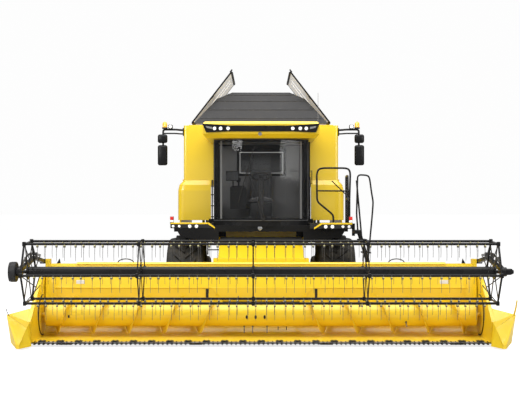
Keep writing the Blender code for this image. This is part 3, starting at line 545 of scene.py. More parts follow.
nodeFinish = {
    "enamelYellow": "cab_roof engine_hood straw_hood front_panel_left front_panel_right "
                    "grain_tank threshing_body unloading_auger side_shield_front_left "
                    "side_shield_front_right side_shield_rear_left side_shield_rear_right",
    "headerYellow": "feeder_house header_frame crop_divider_left crop_divider_right",
    "rimYellow": "front_rim_left front_rim_right rear_rim_left rear_rim_right",
    "chassisBlack": "chassis_frame front_axle rear_axle rear_knuckle_left rear_knuckle_right "
                    "engine_block",
    "satinBlack": "cab_frame cab_door platform_right cutterbar reel_arm_left reel_arm_right "
                  "lift_cylinder_barrel_left lift_cylinder_barrel_right roof_light_bar",
    "charcoalSheet": "tank_lid_left tank_lid_right tank_flap_front tank_flap_rear",
    "blackPlastic": "steering_column seat_base",
    "brightSteel": "knife",
    "chromeRod": "lift_cylinder_rod_left lift_cylinder_rod_right",
}
for look, names in nodeFinish.items():
    for name in names.split():
        nodes[name].data.materials.clear()
        nodes[name].data.materials.append(finish[look])
for name in ("windscreen", "side_window_right", "cab_door_glass"):
    nodes[name].data.materials.clear()
    nodes[name].data.materials.append(tintedGlass)
print("solids painted")


def tyre(name, body, centre, look, side):
    # carcass: a smooth profile turned about the axle; lugs: bars carried over the crown on a
    # slant, so that left and right bars meet in a V
    radius, half, bead = look["radius"], look["width"] / 2, look["bead"]
    deep = look["lugDepth"]
    crown = radius - deep
    knee = bead + 0.42 * (crown - bead)
    curve = smoothCurve([
        (bead, 0.70 * half), (bead + 0.03, 0.88 * half), (knee, 0.985 * half),
        (bead + 0.68 * (crown - bead), 0.99 * half), (crown - 0.055, 0.93 * half),
        (crown - 0.022, 0.80 * half), (crown - 0.006, 0.45 * half), (crown, 0.0)], 5)
    curve[:, 0] += 0.004 * (np.abs(curve[:, 0] - knee) < 0.012)
    profile = np.vstack([curve, curve[-2::-1] * (1, -1)])
    carcass = turnedSurface(profile, centre, "X", 72)
    s = np.linspace(0, 1, 8)
    across = half * (0.03 + 0.95 * s)
    base = np.interp(across, curve[::-1, 1], curve[::-1, 0])
    height = deep * np.interp(s, (0, 0.72, 0.9, 1), (1, 1, 0.75, 0.25))
    slant = -look["slant"] * s
    wide = look["lugWidth"] * (0.8 + 0.5 * s) / crown / 2
    turn = slant[:, None] + wide[:, None] * np.array([-1.35, -1.0, 1.0, 1.35])
    r = np.stack([base - 0.012, base + height, base + height, base - 0.012], 1)
    x = np.broadcast_to(across[:, None], r.shape)
    bar = np.stack([x, r * np.cos(turn), r * np.sin(turn)], -1)
    lug = gridSurface(bar, wrapCols=True, capEnds=True)
    lug = (lug[0] + centre, lug[1])
    pitch = 360 / look["lugs"]
    left = aboutAxis(lug, centre, pitch * np.arange(look["lugs"]))
    flipped = (lug[0] * (-1, 1, 1) + (2 * centre[0], 0, 0), [f[::-1] for f in lug[1]])
    right = aboutAxis(flipped, centre, pitch * (np.arange(look["lugs"]) + 0.5))
    makePiece(name + "_treaded", [carcass, left, right], finish["tyreRubber"], body,
              stands=(name,))
    # wheel nuts, hub cap and valve on the outer face of the rim
    hub = centre[0] + side * look["face"]
    turns = 360 / look["nuts"] * np.arange(look["nuts"])
    hexagon = [(0.019 * cos(a), 0.019 * sin(a)) for a in np.arange(6) * pi / 3]
    nut = prismSurface([(centre[1] + look["nutCircle"] + y, centre[2] + z) for y, z in hexagon],
                       "X", hub - 0.02, hub + 0.018)
    washer = turnedSurface([(0, -0.004), (0.028, -0.004), (0.028, 0.004), (0, 0.004)],
                           (hub, centre[1] + look["nutCircle"], centre[2]), "X", 12, False)
    stud = turnedSurface([(0, 0), (0.009, 0), (0.009, side * 0.032), (0, side * 0.032)],
                         (hub, centre[1] + look["nutCircle"], centre[2]), "X", 8, False)
    fastened = [aboutAxis(part, centre, turns) for part in (nut, washer, stud)]
    makePiece(name + "_nuts", fastened, finish["brightSteel"], body)
    cap = turnedSurface([(0, 0.0), (look["cap"], 0.0), (look["cap"], 0.03),
                         (0.85 * look["cap"], 0.045), (0, 0.05)],
                        (0, 0, 0), "X", 32, False)
    cap = (cap[0] * (side, 1, 1) + (centre[0] + side * look["capFace"], *centre[1:]), cap[1])
    makePiece(name + "_hub_cap", [cap], finish["satinBlack"], body, bevel=0.003)


wheelLook = {
    "front": {"radius": 0.886, "width": 0.75, "bead": 0.434, "lugDepth": 0.046, "lugs": 22,
              "slant": 0.44, "lugWidth": 0.060, "nuts": 12, "nutCircle": 0.21, "face": 0.086,
              "cap": 0.095, "capFace": 0.149},
    "rear": {"radius": 0.617, "width": 0.472, "bead": 0.314, "lugDepth": 0.034, "lugs": 20,
             "slant": 0.40, "lugWidth": 0.042, "nuts": 8, "nutCircle": 0.17, "face": 0.072,
             "cap": 0.085, "capFace": 0.129},
}
for end, look in wheelLook.items():
    for side, hand in ((1, "left"), (-1, "right")):
        low, high = (np.array(c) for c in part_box(f"{end}_tyre_{hand}"))
        tyre(f"{end}_tyre_{hand}", f"{end}_wheel_{hand}", (low + high) / 2, look, side)
print("tyres made")


reelLook = {"axis": (-4.50, 1.28), "radius": 0.55, "half": 3.80, "turn": 183.0,
            "tubeRadius": 0.085, "batRadius": 0.021, "spiders": (-3.78, -1.95, -0.13, 1.70, 3.78),
            "pairPitch": 0.3048, "tineGap": 0.128, "tineLength": 0.27}


def reelPieces():
    # bats are round tubes; every spider is six flat arms and a hexagon between the bats
    look = reelLook
    ay, az = look["axis"]
    angles = np.radians(look["turn"] + 60 * np.arange(6))
    batY, batZ = ay + look["radius"] * np.cos(angles), az + look["radius"] * np.sin(angles)
    tube = turnedSurface([(0, -look["half"]), (look["tubeRadius"] - 0.006, -look["half"]),
                          (look["tubeRadius"], -look["half"] + 0.006),
                          (look["tubeRadius"], look["half"] - 0.006),
                          (look["tubeRadius"] - 0.006, look["half"]), (0, look["half"])],
                         (0, ay, az), "X", 36, False)
    shaft = turnedSurface([(0, -3.86), (0.03, -3.86), (0.03, 3.86), (0, 3.86)], (0, ay, az), "X",
                          16, False)
    run = np.linspace(-look["half"], look["half"], 5)
    bat = tubeSurface(np.column_stack([run, 0 * run, 0 * run]), look["batRadius"], 12)
    bats = copiesOf(bat, np.column_stack([0 * batY, batY, batZ]))
    surfaces = [tube, shaft, bats]
    for x in look["spiders"]:
        last = abs(x) > 3
        width, thick = (0.030 if last else 0.018), 0.006
        spoke = roundedBox((x - thick, ay - width / 2, az + 0.06),
                           (x + thick, ay + width / 2, az + look["radius"] - 0.008), 0.004)
        surfaces.append(aboutAxis(spoke, (0, ay, az), 90 - np.degrees(angles)))
        ring = np.column_stack([np.full(6, x), batY, batZ])
        nextRing = np.roll(ring, -1, 0)
        for a, b in zip(ring, nextRing):
            surfaces.append(tubeSurface(np.linspace(a, b, 3), 0.017 if last else 0.011, 6))
        clamp = roundedBox((x - 0.025, -0.036, -0.036), (x + 0.025, 0.036, 0.036), 0.012)
        surfaces.append(copiesOf(clamp, np.column_stack([0 * batY, batY, batZ])))
        hub = turnedSurface([(0.08, -0.012), (0.125, -0.012), (0.125, 0.012), (0.08, 0.012)],
                            (x, ay, az), "X", 24)
        surfaces.append(hub)
    # crossed stays between each end spider and the ring inside it
    for side in (-1, 1):
        outer, inner = side * 3.78, side * 3.62
        for k in range(6):
            j = (k + 1) % 6
            a = (outer, batY[k], batZ[k])
            b = (inner, ay + 0.5 * (batY[j] - ay), az + 0.5 * (batZ[j] - az))
            surfaces.append(tubeSurface(np.linspace(a, b, 3), 0.008, 6))
    makePiece("reel_bats_and_spiders", surfaces, finish["satinBlack"], "reel", stands=("reel",))

    count = int(2 * (look["half"] - 0.15) / look["pairPitch"]) + 1
    middle = (np.arange(count) - (count - 1) / 2) * look["pairPitch"]
    x = (middle[:, None] + look["tineGap"] / 2 * np.array([-1, 1])).ravel()
    places = np.array([(a, b, c) for b, c in zip(batY, batZ) for a in x])
    long = look["tineLength"]
    path = smoothCurve([(0, 0.0, -0.018), (0, 0.012, -0.055), (0, 0.004, -0.12),
                        (0, -0.004, -0.19), (0, 0.012, -long)], 2)
    tine = tubeSurface(path, np.linspace(0.0042, 0.0030, len(path)), 4)
    makePiece("reel_tines", [copiesOf(tine, places)], finish["springSteel"], "reel")
    coil = turnedSurface([(0.006, -0.016), (0.017, -0.016), (0.017, 0.016), (0.006, 0.016)],
                         (0, 0.006, -0.040), "X", 8)
    makePiece("reel_tine_coils", [copiesOf(coil, places)], finish["springSteel"], "reel")
    clip = roundedBox((-0.012, -0.028, -0.034), (0.012, 0.016, -0.016), 0.005, 2, 6)
    makePiece("reel_tine_clips", [copiesOf(clip, places)], finish["clipPlastic"], "reel")
    bolt = turnedSurface([(0, -0.027), (0.007, -0.027), (0.007, -0.018), (0, -0.018)], (0, 0, 0),
                         "Y", 6, False)
    makePiece("reel_bat_bolts", [copiesOf(bolt, places)], finish["springSteel"], "reel")


reelPieces()


def reelArmPieces():
    # the drive cover on the right, hoses along both arms, pin caps and the hydraulic motor on the
    # left
    case = turnedSurface([(0, 0.0), (0.155, 0.0), (0.165, 0.010), (0.165, 0.085), (0.150, 0.105),
                          (0.10, 0.118), (0, 0.120)], (0, 0, 0), "X", 40, False)
    case = (case[0] * (-1, 1, 1) + (-3.962, -4.50, 1.28), case[1])
    makePiece("reel_drive_cover", [case], finish["blackPlastic"], "reel_arms", bevel=0.003)
    slit = roundedBox((-0.004, -0.085, -0.012), (0.004, 0.085, 0.012), 0.006)
    slit = aboutAxis(slit, (0, 0, 0), 40)
    makePiece("reel_drive_guard_slit", [(slit[0] + (-4.082, -4.53, 1.33), slit[1])],
              finish["paleSheet"], "reel_arms")
    surfaces, rods = [], []
    for side in (-1, 1):
        x = side * 3.945
        hose = smoothCurve([(x, -2.75, 1.46), (x + side * 0.03, -3.10, 1.50),
                            (x + side * 0.02, -3.55, 1.52), (x, -3.95, 1.47),
                            (x - side * 0.01, -4.25, 1.38), (x, -4.42, 1.33)], 5)
        surfaces += [tubeSurface(hose + (0, 0, dz), 0.009, 8) for dz in (0.0, 0.022)]
        bands = [(x, -3.10, 1.485), (x, -3.55, 1.49), (x, -3.95, 1.445)]
        surfaces.append(copiesOf(roundedBox((-0.02, -0.015, -0.03), (0.045 if side > 0 else 0.02,
                                            0.015, 0.055), 0.006), bands))
        rods.append(turnedSurface([(0, -0.03), (0.030, -0.03), (0.030, 0.03), (0, 0.03)],
                                  (side * 3.93, -2.62, 1.36), "X", 16, False))
    makePiece("reel_arm_hoses", surfaces, finish["beltRubber"], "reel_arms")
    makePiece("reel_arm_pin_caps", rods, finish["brightSteel"], "reel_arms", bevel=0.002)
    block = [roundedBox((3.955, -4.60, 1.235), (4.035, -4.42, 1.325), 0.012),
             turnedSurface([(0, 0), (0.036, 0), (0.036, 0.05), (0.028, 0.06), (0, 0.06)],
                           (4.03, -4.51, 1.28), "X", 20, False)]
    makePiece("reel_hydraulic_motor", block, finish["satinBlack"], "reel_arms")


reelArmPieces()
print("reel made")


augerLook = {"axis": (-3.10, 0.445), "tube": 0.205, "flight": 0.33, "pitch": 0.62,
             "inside": 0.62, "turns": 5}


def feedAugerPieces():
    # tube: turned; flight: radius and turn are the two parameters, x grows with the turn
    look = augerLook
    ay, az = look["axis"]
    tube = turnedSurface([(0, -3.835), (0.04, -3.835), (0.04, -3.76), (0.195, -3.76),
                          (look["tube"], -3.75), (look["tube"], -1.9), (look["tube"], 0.0),
                          (look["tube"], 1.9), (look["tube"], 3.75), (0.195, 3.76), (0.04, 3.76),
                          (0.04, 3.835), (0, 3.835)], (0, ay, az), "X", 64, False)
    turn = np.linspace(0, 2 * pi * look["turns"], 48 * look["turns"] + 1)
    x = look["inside"] + look["pitch"] * turn / (2 * pi)
    r = np.array([look["tube"] - 0.004, look["flight"], look["flight"], look["tube"] - 0.004])
    shift = np.array([0.0, 0.001, 0.006, 0.007])
    points = np.stack([x[:, None] + shift, ay + r * np.cos(turn)[:, None],
                       az + r * np.sin(turn)[:, None]], -1)
    flight = gridSurface(points, wrapCols=True, capEnds=True)
    makePiece("feed_auger_flighted", [tube, flight, onRight(flight)], finish["headerYellow"],
              "feed_auger", stands=("feed_auger",))
    spots = [(-0.25, 186), (-0.095, 186), (0.06, 186), (-0.295, 252), (-0.148, 252), (0.104, 252),
             (0.30, 300), (0.45, 300), (-0.45, 320), (0.20, 20), (-0.20, 40), (0.40, 70),
             (-0.40, 90), (0.0, 110), (-3.34, 183), (1.72, 127), (2.52, 214), (-2.1, 60),
             (3.2, 20), (-1.2, 330)]
    cups, fingers = [], []
    for x, degrees in spots:
        big = abs(x) < 0.6
        cup = turnedSurface([(0, 0.0), (0.026 if big else 0.020, 0.0),
                             (0.028 if big else 0.022, 0.004), (0, 0.007)], (0, 0, 0), "Y", 20,
                            False)
        cup = (cup[0] * (0.72, 1, 1.25) + (x, ay + look["tube"] - 0.001, az), cup[1])
        cups.append(aboutAxis(cup, (0, ay, az), degrees))
        if 190 < degrees or degrees < 120:
            rod = tubeSurface(np.array([(x, ay + r, az) for r in (0.19, 0.26, 0.325)]), 0.0085, 8)
            fingers.append(aboutAxis(rod, (0, ay, az), degrees))
    makePiece("auger_finger_guides", cups, finish["blackPlastic"], "feed_auger")
    makePiece("auger_fingers", fingers, finish["springSteel"], "feed_auger")


feedAugerPieces()


headerLook = {"knifeY": -4.0, "half": 3.81, "guardPitch": 0.0762, "clipPitch": 0.3048,
              "sheetY": -2.73, "crease": 0.887, "top": 1.32}


def cutterbarPieces():
    look = headerLook
    y = look["knifeY"]
    count = int(2 * look["half"] / look["guardPitch"])
    x = (np.arange(count) - (count - 1) / 2) * look["guardPitch"]
    finger = tubeSurface(np.array([(0, y - 0.02, 0.052), (0, y - 0.07, 0.052),
                                   (0, y - 0.12, 0.054), (0, y - 0.165, 0.062)]),
                         np.array([0.017, 0.015, 0.010, 0.003]), 6)
    lip = tubeSurface(np.array([(0, y - 0.015, 0.092), (0, y - 0.06, 0.091),
                                (0, y - 0.105, 0.086)]), np.array([0.009, 0.008, 0.004]), 5)
    places = np.column_stack([x, 0 * x, 0 * x])
    makePiece("knife_guards", [copiesOf(finger, places), copiesOf(lip, places)],
              finish["satinBlack"], "header")
    tooth = prismSurface([(-0.036, y - 0.045), (0.036, y - 0.045), (0.006, y - 0.115),
                          (-0.006, y - 0.115)], "Z", 0.0735, 0.0765)
    makePiece("knife_sections", [copiesOf(tooth, places[1:] - (look["guardPitch"] / 2, 0, 0))],
              finish["brightSteel"], "knife")
    clips = int(2 * look["half"] / look["clipPitch"])
    x = (np.arange(clips) - (clips - 1) / 2) * look["clipPitch"]
    places = np.column_stack([x, 0 * x, 0 * x])
    clip = roundedBox((-0.062, y - 0.035, 0.088), (0.062, y + 0.045, 0.104), 0.008)
    bolt = turnedSurface([(0, 0.100), (0.011, 0.100), (0.011, 0.112), (0, 0.112)],
                         (0.03, y + 0.02, 0), "Z", 6, False)
    bolts = [copiesOf(bolt, places), copiesOf(bolt, places - (0.06, 0, 0))]
    makePiece("knife_clips", [copiesOf(clip, places)], finish["satinBlack"], "header")
    makePiece("knife_clip_bolts", bolts, finish["springSteel"], "header")
    skid = prismSurface([(-3.86, 0.014), (-3.45, 0.006), (-3.10, 0.006), (-2.85, 0.06),
                         (-2.85, 0.066), (-3.12, 0.014), (-3.45, 0.014), (-3.86, 0.040)],
                        "X", -0.11, 0.11)
    makePiece("header_skids", [copiesOf(skid, [(px, 0, 0) for px in (-3.3, -1.1, 1.1, 3.3)])],
              finish["springSteel"], "header", bevel=0.003)


cutterbarPieces()


def headerTrim():
    look = headerLook
    y, crease, top = look["sheetY"], look["crease"], look["top"]
    slope = (y + 0.10 - y) / (top - crease)

    def onSheet(z):
        return y - 0.003 + max(0.0, z - crease) * slope

    panel = prismSurface([(-0.90, 0.885), (0.93, 0.885), (0.74, 0.672), (-0.70, 0.672)], "Y",
                         y - 0.010, y - 0.001)
    makePiece("back_sheet_panel", [panel], finish["headerYellow"], "header", bevel=0.004)
    slots = [roundedBox((x - 0.024, y - 0.008, 0.672), (x + 0.024, y + 0.004, 0.872), 0.006)
             for x in (-0.966, 0.985)]
    makePiece("back_sheet_slots", slots, finish["blackPlastic"], "header")
    labels = [roundedBox((x - 0.075, onSheet(0.99) - 0.004, 0.955),
                         (x + 0.075, onSheet(0.99) + 0.02, 1.025), 0.004) for x in (-3.24, 3.28)]
    makePiece("blank_plates", labels, finish["paleSheet"], "header")
    fold = prismSurface([(y - 0.012, crease + 0.006), (y + 0.006, crease + 0.012),
                         (y + 0.006, crease - 0.012), (y - 0.006, crease - 0.010)], "X",
                        -3.83, 3.83)
    makePiece("back_sheet_fold", [fold], finish["headerYellow"], "header")
    cap = prismSurface([(-2.665, 1.306), (-2.640, 1.338), (-2.520, 1.338), (-2.500, 1.306)],
                       "X", -3.32, 3.32)
    makePiece("header_top_rail", [cap], finish["headerYellow"], "header", bevel=0.006)
    a = np.linspace(0, pi, 13)
    hoops = []
    for x in (-2.44, 2.44):
        arch = np.column_stack([x + 0.145 * np.cos(a), 0 * a - 2.60, 1.325 + 0.075 * np.sin(a)])
        hoops.append(tubeSurface(arch, 0.009, 8))
    makePiece("header_top_hoops", hoops, finish["satinBlack"], "header")
    ears = [prismSurface([(x - 0.03, 1.31), (x + 0.05, 1.31), (x + 0.03, 1.41)], "Y",
                         -2.62, -2.60) for x in (-3.66,)]
    ears += [onRight(ears[0])]
    makePiece("header_top_ears", ears, finish["satinBlack"], "header", bevel=0.002)
    # curved guides where the back sheet meets the end sheets
    v = np.radians(np.linspace(0, 90, 10))
    guides, seals = [], []
    for side in (1, -1):
        bend = np.stack([side * (3.62 + 0.20 * np.sin(v)), y - 0.20 * (1 - np.cos(v))], -1)
        zs = np.linspace(0.45, 1.16, 4)
        face = np.stack([np.broadcast_to(bend[:, None, 0], (10, 4)),
                         bend[:, None, 1] + np.maximum(0, zs - crease) * slope,
                         np.broadcast_to(zs, (10, 4))], -1)
        back = face + (side * 0.003, 0.004, 0)
        guides.append(gridSurface(np.concatenate([face, back[:, ::-1]], 1), wrapCols=True,
                                  capEnds=True))
        around = np.radians(np.linspace(-100, 95, 28))
        ring = np.column_stack([np.full(28, side * 3.832), -3.10 - 0.352 * np.cos(around),
                                0.445 + 0.352 * np.sin(around)])
        seals.append(tubeSurface(ring, 0.009, 6))
    makePiece("header_corner_guides", guides, finish["headerYellow"], "header")
    makePiece("header_end_seals", seals, finish["blackPlastic"], "header")
    # knife drive gearbox, its guard and belt on the left end sheet
    box = [roundedBox((3.905, -3.98, 0.14), (3.965, -3.72, 0.34), 0.02),
           turnedSurface([(0, 0), (0.085, 0), (0.085, 0.045), (0.07, 0.055), (0, 0.055)],
                         (3.903, -3.42, 0.52), "X", 32, False)]
    makePiece("knife_drive", box, finish["satinBlack"], "header")
    belt = np.radians(np.linspace(0, 360, 40, endpoint=False))
    loop = np.column_stack([np.full(40, 3.945), -3.63 + 0.26 * np.cos(belt),
                            0.41 + 0.10 * np.sin(belt) + 0.10 * np.cos(belt)])
    makePiece("knife_drive_belt", [tubeSurface(loop, 0.012, 6, wrap=True)],
              finish["beltRubber"], "header")
    # bolts on both end sheets and the marker strips on the dividers
    bolts = turnedSurface([(0, 0), (0.012, 0), (0.012, 0.010), (0, 0.010)], (0, 0, 0), "X", 6,
                          False)
    rows = [(3.9, py, pz) for py, pz in ((-3.9, 0.12), (-3.9, 0.36), (-3.5, 0.62), (-3.2, 0.85),
                                         (-2.9, 0.95), (-2.7, 0.5), (-2.7, 0.9), (-3.1, 0.445))]
    left = copiesOf(bolts, rows)
    makePiece("end_sheet_bolts", bothSides([left]), finish["springSteel"], "header")
    strip = [tubeSurface(np.array([(4.175, -4.18, 0.54), (4.19, -4.25, 0.66),
                                   (4.20, -4.30, 0.80)]),
                         np.array([0.022, 0.020, 0.016]), 8, flat=0.5)]
    makePiece("divider_marker_left", strip, finish["headerYellow"], "header")
    whisker = [tubeSurface(np.array([(-4.17, -4.18, 0.54), (-4.19, -4.22, 0.60),
                                     (-4.205, -4.25, 0.67)]), 0.006, 6)]
    makePiece("divider_marker_right", whisker, finish["satinBlack"], "header")


headerTrim()
print("header made")


def clothMaterial(name, colour, thread):
    # woven cloth: two crossed waves make the threads, soft noise makes the wear
    material = bpy.data.materials.new(name)
    material.use_nodes = True
    tree = material.node_tree
    shader = tree.nodes["Principled BSDF"]
    shader.inputs["Roughness"].default_value = 0.9
    shader.inputs["Sheen Weight"].default_value = 0.35
    shader.inputs["Sheen Roughness"].default_value = 0.5
    place = addNode(tree, "ShaderNodeTexCoord")
    cloud = addNode(tree, "ShaderNodeTexNoise", [("Vector", place.outputs["Object"])], Scale=9.0)
    tones = addNode(tree, "ShaderNodeMix", [("Factor", cloud.outputs["Fac"])])
    tones.data_type = "RGBA"
    tree.links.new(cloud.outputs["Fac"], tones.inputs["Factor"])
    tones.inputs["A"].default_value = (*colour, 1.0)
    tones.inputs["B"].default_value = (*[1.5 * v for v in colour], 1.0)
    tree.links.new(tones.outputs["Result"], shader.inputs["Base Color"])
    waves = []
    for way in ("X", "Y"):
        wave = addNode(tree, "ShaderNodeTexWave", [("Vector", place.outputs["Object"])],
                       Scale=thread, Distortion=0.2)
        wave.bands_direction = way
        waves.append(wave)
    weave = addNode(tree, "ShaderNodeMath")
    for k, wave in enumerate(waves):
        tree.links.new(wave.outputs["Fac"], weave.inputs[k])
    bump = addNode(tree, "ShaderNodeBump", [("Height", weave.outputs["Value"])], Strength=0.4,
                   Distance=0.0008)
    tree.links.new(bump.outputs["Normal"], shader.inputs["Normal"])
    return material


# thin pale moulded sheet with a little glow of its own, though it is no lamp: painted light, used
# on the lid linings and the rear window frame
paintedGlowSheet = lampMaterial("paintedGlowSheet", (0.80, 0.80, 0.79), 0.55, 0.5)
seatCloth = clothMaterial("seatCloth", (0.050, 0.051, 0.055), 160.0)
screenFace = glassMaterial("screenFace", (0.012, 0.014, 0.016), 0.95)


def box(x0, y0, z0, x1, y1, z1, radius=0.008):
    return roundedBox((min(x0, x1), min(y0, y1), min(z0, z1)),
                      (max(x0, x1), max(y0, y1), max(z0, z1)), radius)


def disc(radius, depth, place, axis="Y", sides=24, dome=0.0):
    # a short turned button that faces the low side of its axis
    profile = [(0, -depth - dome), (radius * 0.6, -depth - dome * 0.7), (radius, -depth),
               (radius, 0.0), (0, 0.0)]
    return turnedSurface(profile, place, axis, sides, False)


def tube(points, radius, bend=0.05, sides=10):
    return tubeSurface(roundedPath(points, bend), radius, sides)


windscreenLook = {"edgeY": -0.912, "bow": 0.30, "halfWidth": 0.93, "low": 2.075, "high": 3.652,
                  "sealWidth": 0.92, "sealRadius": 0.011}


def onGlass(x, lift=0.0):
    # how far forward the bowed glass is at this x, with lift as the gap in front of it
    look = windscreenLook
    return look["edgeY"] - look["bow"] * (1 - (x / look["halfWidth"]) ** 2) - lift


def cabFront():
    # apron under the windscreen, its side wings, seals and grab bars
    apron = [prismSurface([(-0.90, 1.985), (0.90, 1.985), (0.90, 1.86), (-0.90, 1.86)], "Y",
                          -1.163, -1.150)]
    for side in (-1, 1):
        apron.append(prismSurface([(side * 0.82, 1.985), (side * 1.62, 1.985),
                                   (side * 1.62, 1.86), (side * 1.56, 1.76),
                                   (side * 1.24, 1.70), (side * 0.82, 1.70)], "Y",
                                  -1.162, -1.149))
    for side in (-1, 1):
        apron.append(box(side * 0.932, 0.06, 1.70, side * 1.07, 0.08, 2.10, 0.004))
        apron.append(box(side * 0.70, -0.625, 1.62, side * 0.94, -0.615, 1.96, 0.003))
    makePiece("cab_apron", apron, finish["satinBlack"], "machine", bevel=0.003)
    # a black sheet laid over the rear top of the feeder house: painted shade, standing in for the
    # shadow under the cab
    shadeCover = prismSurface([(-0.96, 1.742), (-0.96, 1.750), (-1.34, 1.632), (-1.34, 1.622)], "X",
                        -0.80, 0.80)
    makePiece("feeder_painted_shade_cover", [shadeCover], finish["beltRubber"], "header")
    skirts = [box(side * 0.94, -1.15, 1.70, side * 0.955, -0.60, 1.96, 0.004) for side in (-1, 1)]
    makePiece("cab_apron_sides", skirts, finish["satinBlack"], "machine")
    bars = [tube([(x, -0.93, 2.12), (x, -0.99, 2.12), (x, -0.99, 2.86), (x, -0.93, 2.86)],
                 0.014, 0.03) for x in (-0.955, 0.955)]
    makePiece("cab_grab_bars", bars, finish["satinBlack"], "machine")
    seal, look = [], windscreenLook
    width, radius = look["sealWidth"], look["sealRadius"]
    for z in (look["low"], look["high"]):
        x = np.linspace(-width, width, 21)
        seal.append(tubeSurface(np.column_stack([x, onGlass(x, 0.001), 0 * x + z]), radius, 6))
    for side in (-1, 1):
        seal.append(tubeSurface(np.array([(side * width, -0.916, z) for z in (2.07, 2.9, 3.655)]),
                                radius, 6))
    makePiece("windscreen_seal", seal, finish["beltRubber"], "machine")
    trims = []
    for side in (-1, 1):
        z = np.linspace(2.11, 3.63, 5)
        edge = [(side * 0.76, onGlass(0.76, -0.006)), (side * 0.80, onGlass(0.80, -0.006))]
        face = np.stack([np.stack([np.full(5, x), np.full(5, y), z], -1) for x, y in edge])
        back = face + (0, 0.004, 0)
        trims.append(gridSurface(np.concatenate([face, back[::-1]]), wrapRows=True))
    makePiece("pillar_inner_trim", trims, finish["greyTrim"], "machine")
    # wiper: motor on the screen's lower edge, two arms to one upright blade
    arm = np.array([(0.02, onGlass(0.02, 0.03), 2.10), (-0.10, onGlass(-0.10, 0.035), 2.55),
                    (-0.26, onGlass(-0.26, 0.028), 3.02)])
    pieces = [tubeSurface(smoothCurve(arm, 4), 0.009, 6),
              tubeSurface(smoothCurve(arm + (0.05, 0, 0), 4), 0.006, 6),
              disc(0.03, 0.03, (0.04, onGlass(0.04), 2.10))]
    blade = np.array([(x, onGlass(x, 0.013), z) for x, z in ((-0.44, 2.42), (-0.36, 2.72),
                                                            (-0.27, 3.02), (-0.19, 3.30),
                                                            (-0.12, 3.52))])
    pieces.append(tubeSurface(smoothCurve(blade, 3), 0.009, 6))
    makePiece("windscreen_wiper", pieces, finish["blackPlastic"], "machine")
    badge = [disc(0.045, 0.010, (-0.02, -1.163, 1.93), dome=0.004)]
    makePiece("apron_disc", badge, finish["brightSteel"], "machine")
    makePiece("roof_disc", [disc(0.036, 0.006, (-0.02, -1.502, 3.735), dome=0.003)],
              finish["greyTrim"], "machine")


cabFront()


def roofLamps():
    lens, rims, strips = [], [], []
    for x in (-0.886, -0.770, -0.627, 0.604, 0.747, 0.861):
        r = 0.034
        rims.append(turnedSurface([(r, 0.004), (r + 0.010, 0.0), (r + 0.008, -0.012),
                                   (r, -0.010)], (x, -1.540, 3.835), "Y", 24))
        lens.append(disc(r, 0.004, (x, -1.540, 3.835), dome=0.008))
    for side in (-1, 1):
        strip = prismSurface([(side * 0.93, 3.862), (side * 1.055, 3.880), (side * 1.035, 3.845),
                              (side * 0.93, 3.822)], "Y", -1.546, -1.538)
        strips.append(strip)
    makePiece("roof_lamp_rims", rims, finish["blackPlastic"], "machine")
    makePiece("roof_lamp_lenses", lens, whiteLens, "machine")
    makePiece("roof_lamp_strips", strips, finish["greyTrim"], "machine")
    seams = [box(-1.13, -1.506, 3.905, 1.13, -1.499, 3.909, 0.002)]
    makePiece("roof_front_seam", seams, finish["blackPlastic"], "machine")
    vents = [box(x - 0.16, -0.30 + 0.09 * k, 3.974, x + 0.16, -0.25 + 0.09 * k, 3.986, 0.005)
             for x in (-0.55, 0.55) for k in range(5)]
    makePiece("roof_vents", vents, finish["blackPlastic"], "machine")
    # work lamp clusters at the outer front corners of both decks
    housings, lenses, bands, red, white = [], [], [], [], []
    for y, xs, outer in ((-1.735, (1.219, 1.345, 1.544, 1.659), 1.72),
                         (-1.175, (-1.252, -1.383, -1.586, -1.705), -1.76)):
        inner = 0.92 * np.sign(outer)
        housings.append(box(inner, y, 1.925, outer, y + 0.035, 2.005, 0.012))
        near = (1.15 if outer > 0 else 1.03) * np.sign(outer)
        bands.append(box(near, y + 0.004, 2.006, outer, y + 0.03, 2.038, 0.006))
        bands.append(prismSurface([(near, 2.006), (near, 2.038), (near * 0.985, 2.038),
                                   (near * 0.87, 1.950), (near * 0.87, 1.918)], "Y",
                                  y - 0.006, y + 0.03))
        for k, x in enumerate(xs):
            r = 0.034 if k < 2 else 0.026
            lenses.append(disc(r, 0.006, (x, y, 1.966), dome=0.008))
            housings.append(turnedSurface([(r, 0.004), (r + 0.009, 0.0), (r + 0.008, -0.012),
                                           (r, -0.010)], (x, y, 1.966), "Y", 20))
        white.append(box(outer + 0.004 * np.sign(outer), y - 0.004, 2.045,
                         outer - 0.06 * np.sign(outer), y + 0.03, 2.085, 0.008))
        red.append(box(outer + 0.004 * np.sign(outer), y - 0.004, 2.090,
                       outer - 0.06 * np.sign(outer), y + 0.03, 2.150, 0.008))
        housings.append(box(outer - 0.066 * np.sign(outer), y + 0.006, 2.00,
                            outer + 0.006 * np.sign(outer), y + 0.036, 2.156, 0.006))
    makePiece("corner_lamp_housings", housings, finish["blackPlastic"], "machine")
    makePiece("corner_lamp_bands", bands, finish["enamelYellow"], "machine")
    makePiece("corner_lamp_lenses", lenses + white, whiteLens, "machine")
    makePiece("marker_lamps_red", red, redLens, "machine")


roofLamps()


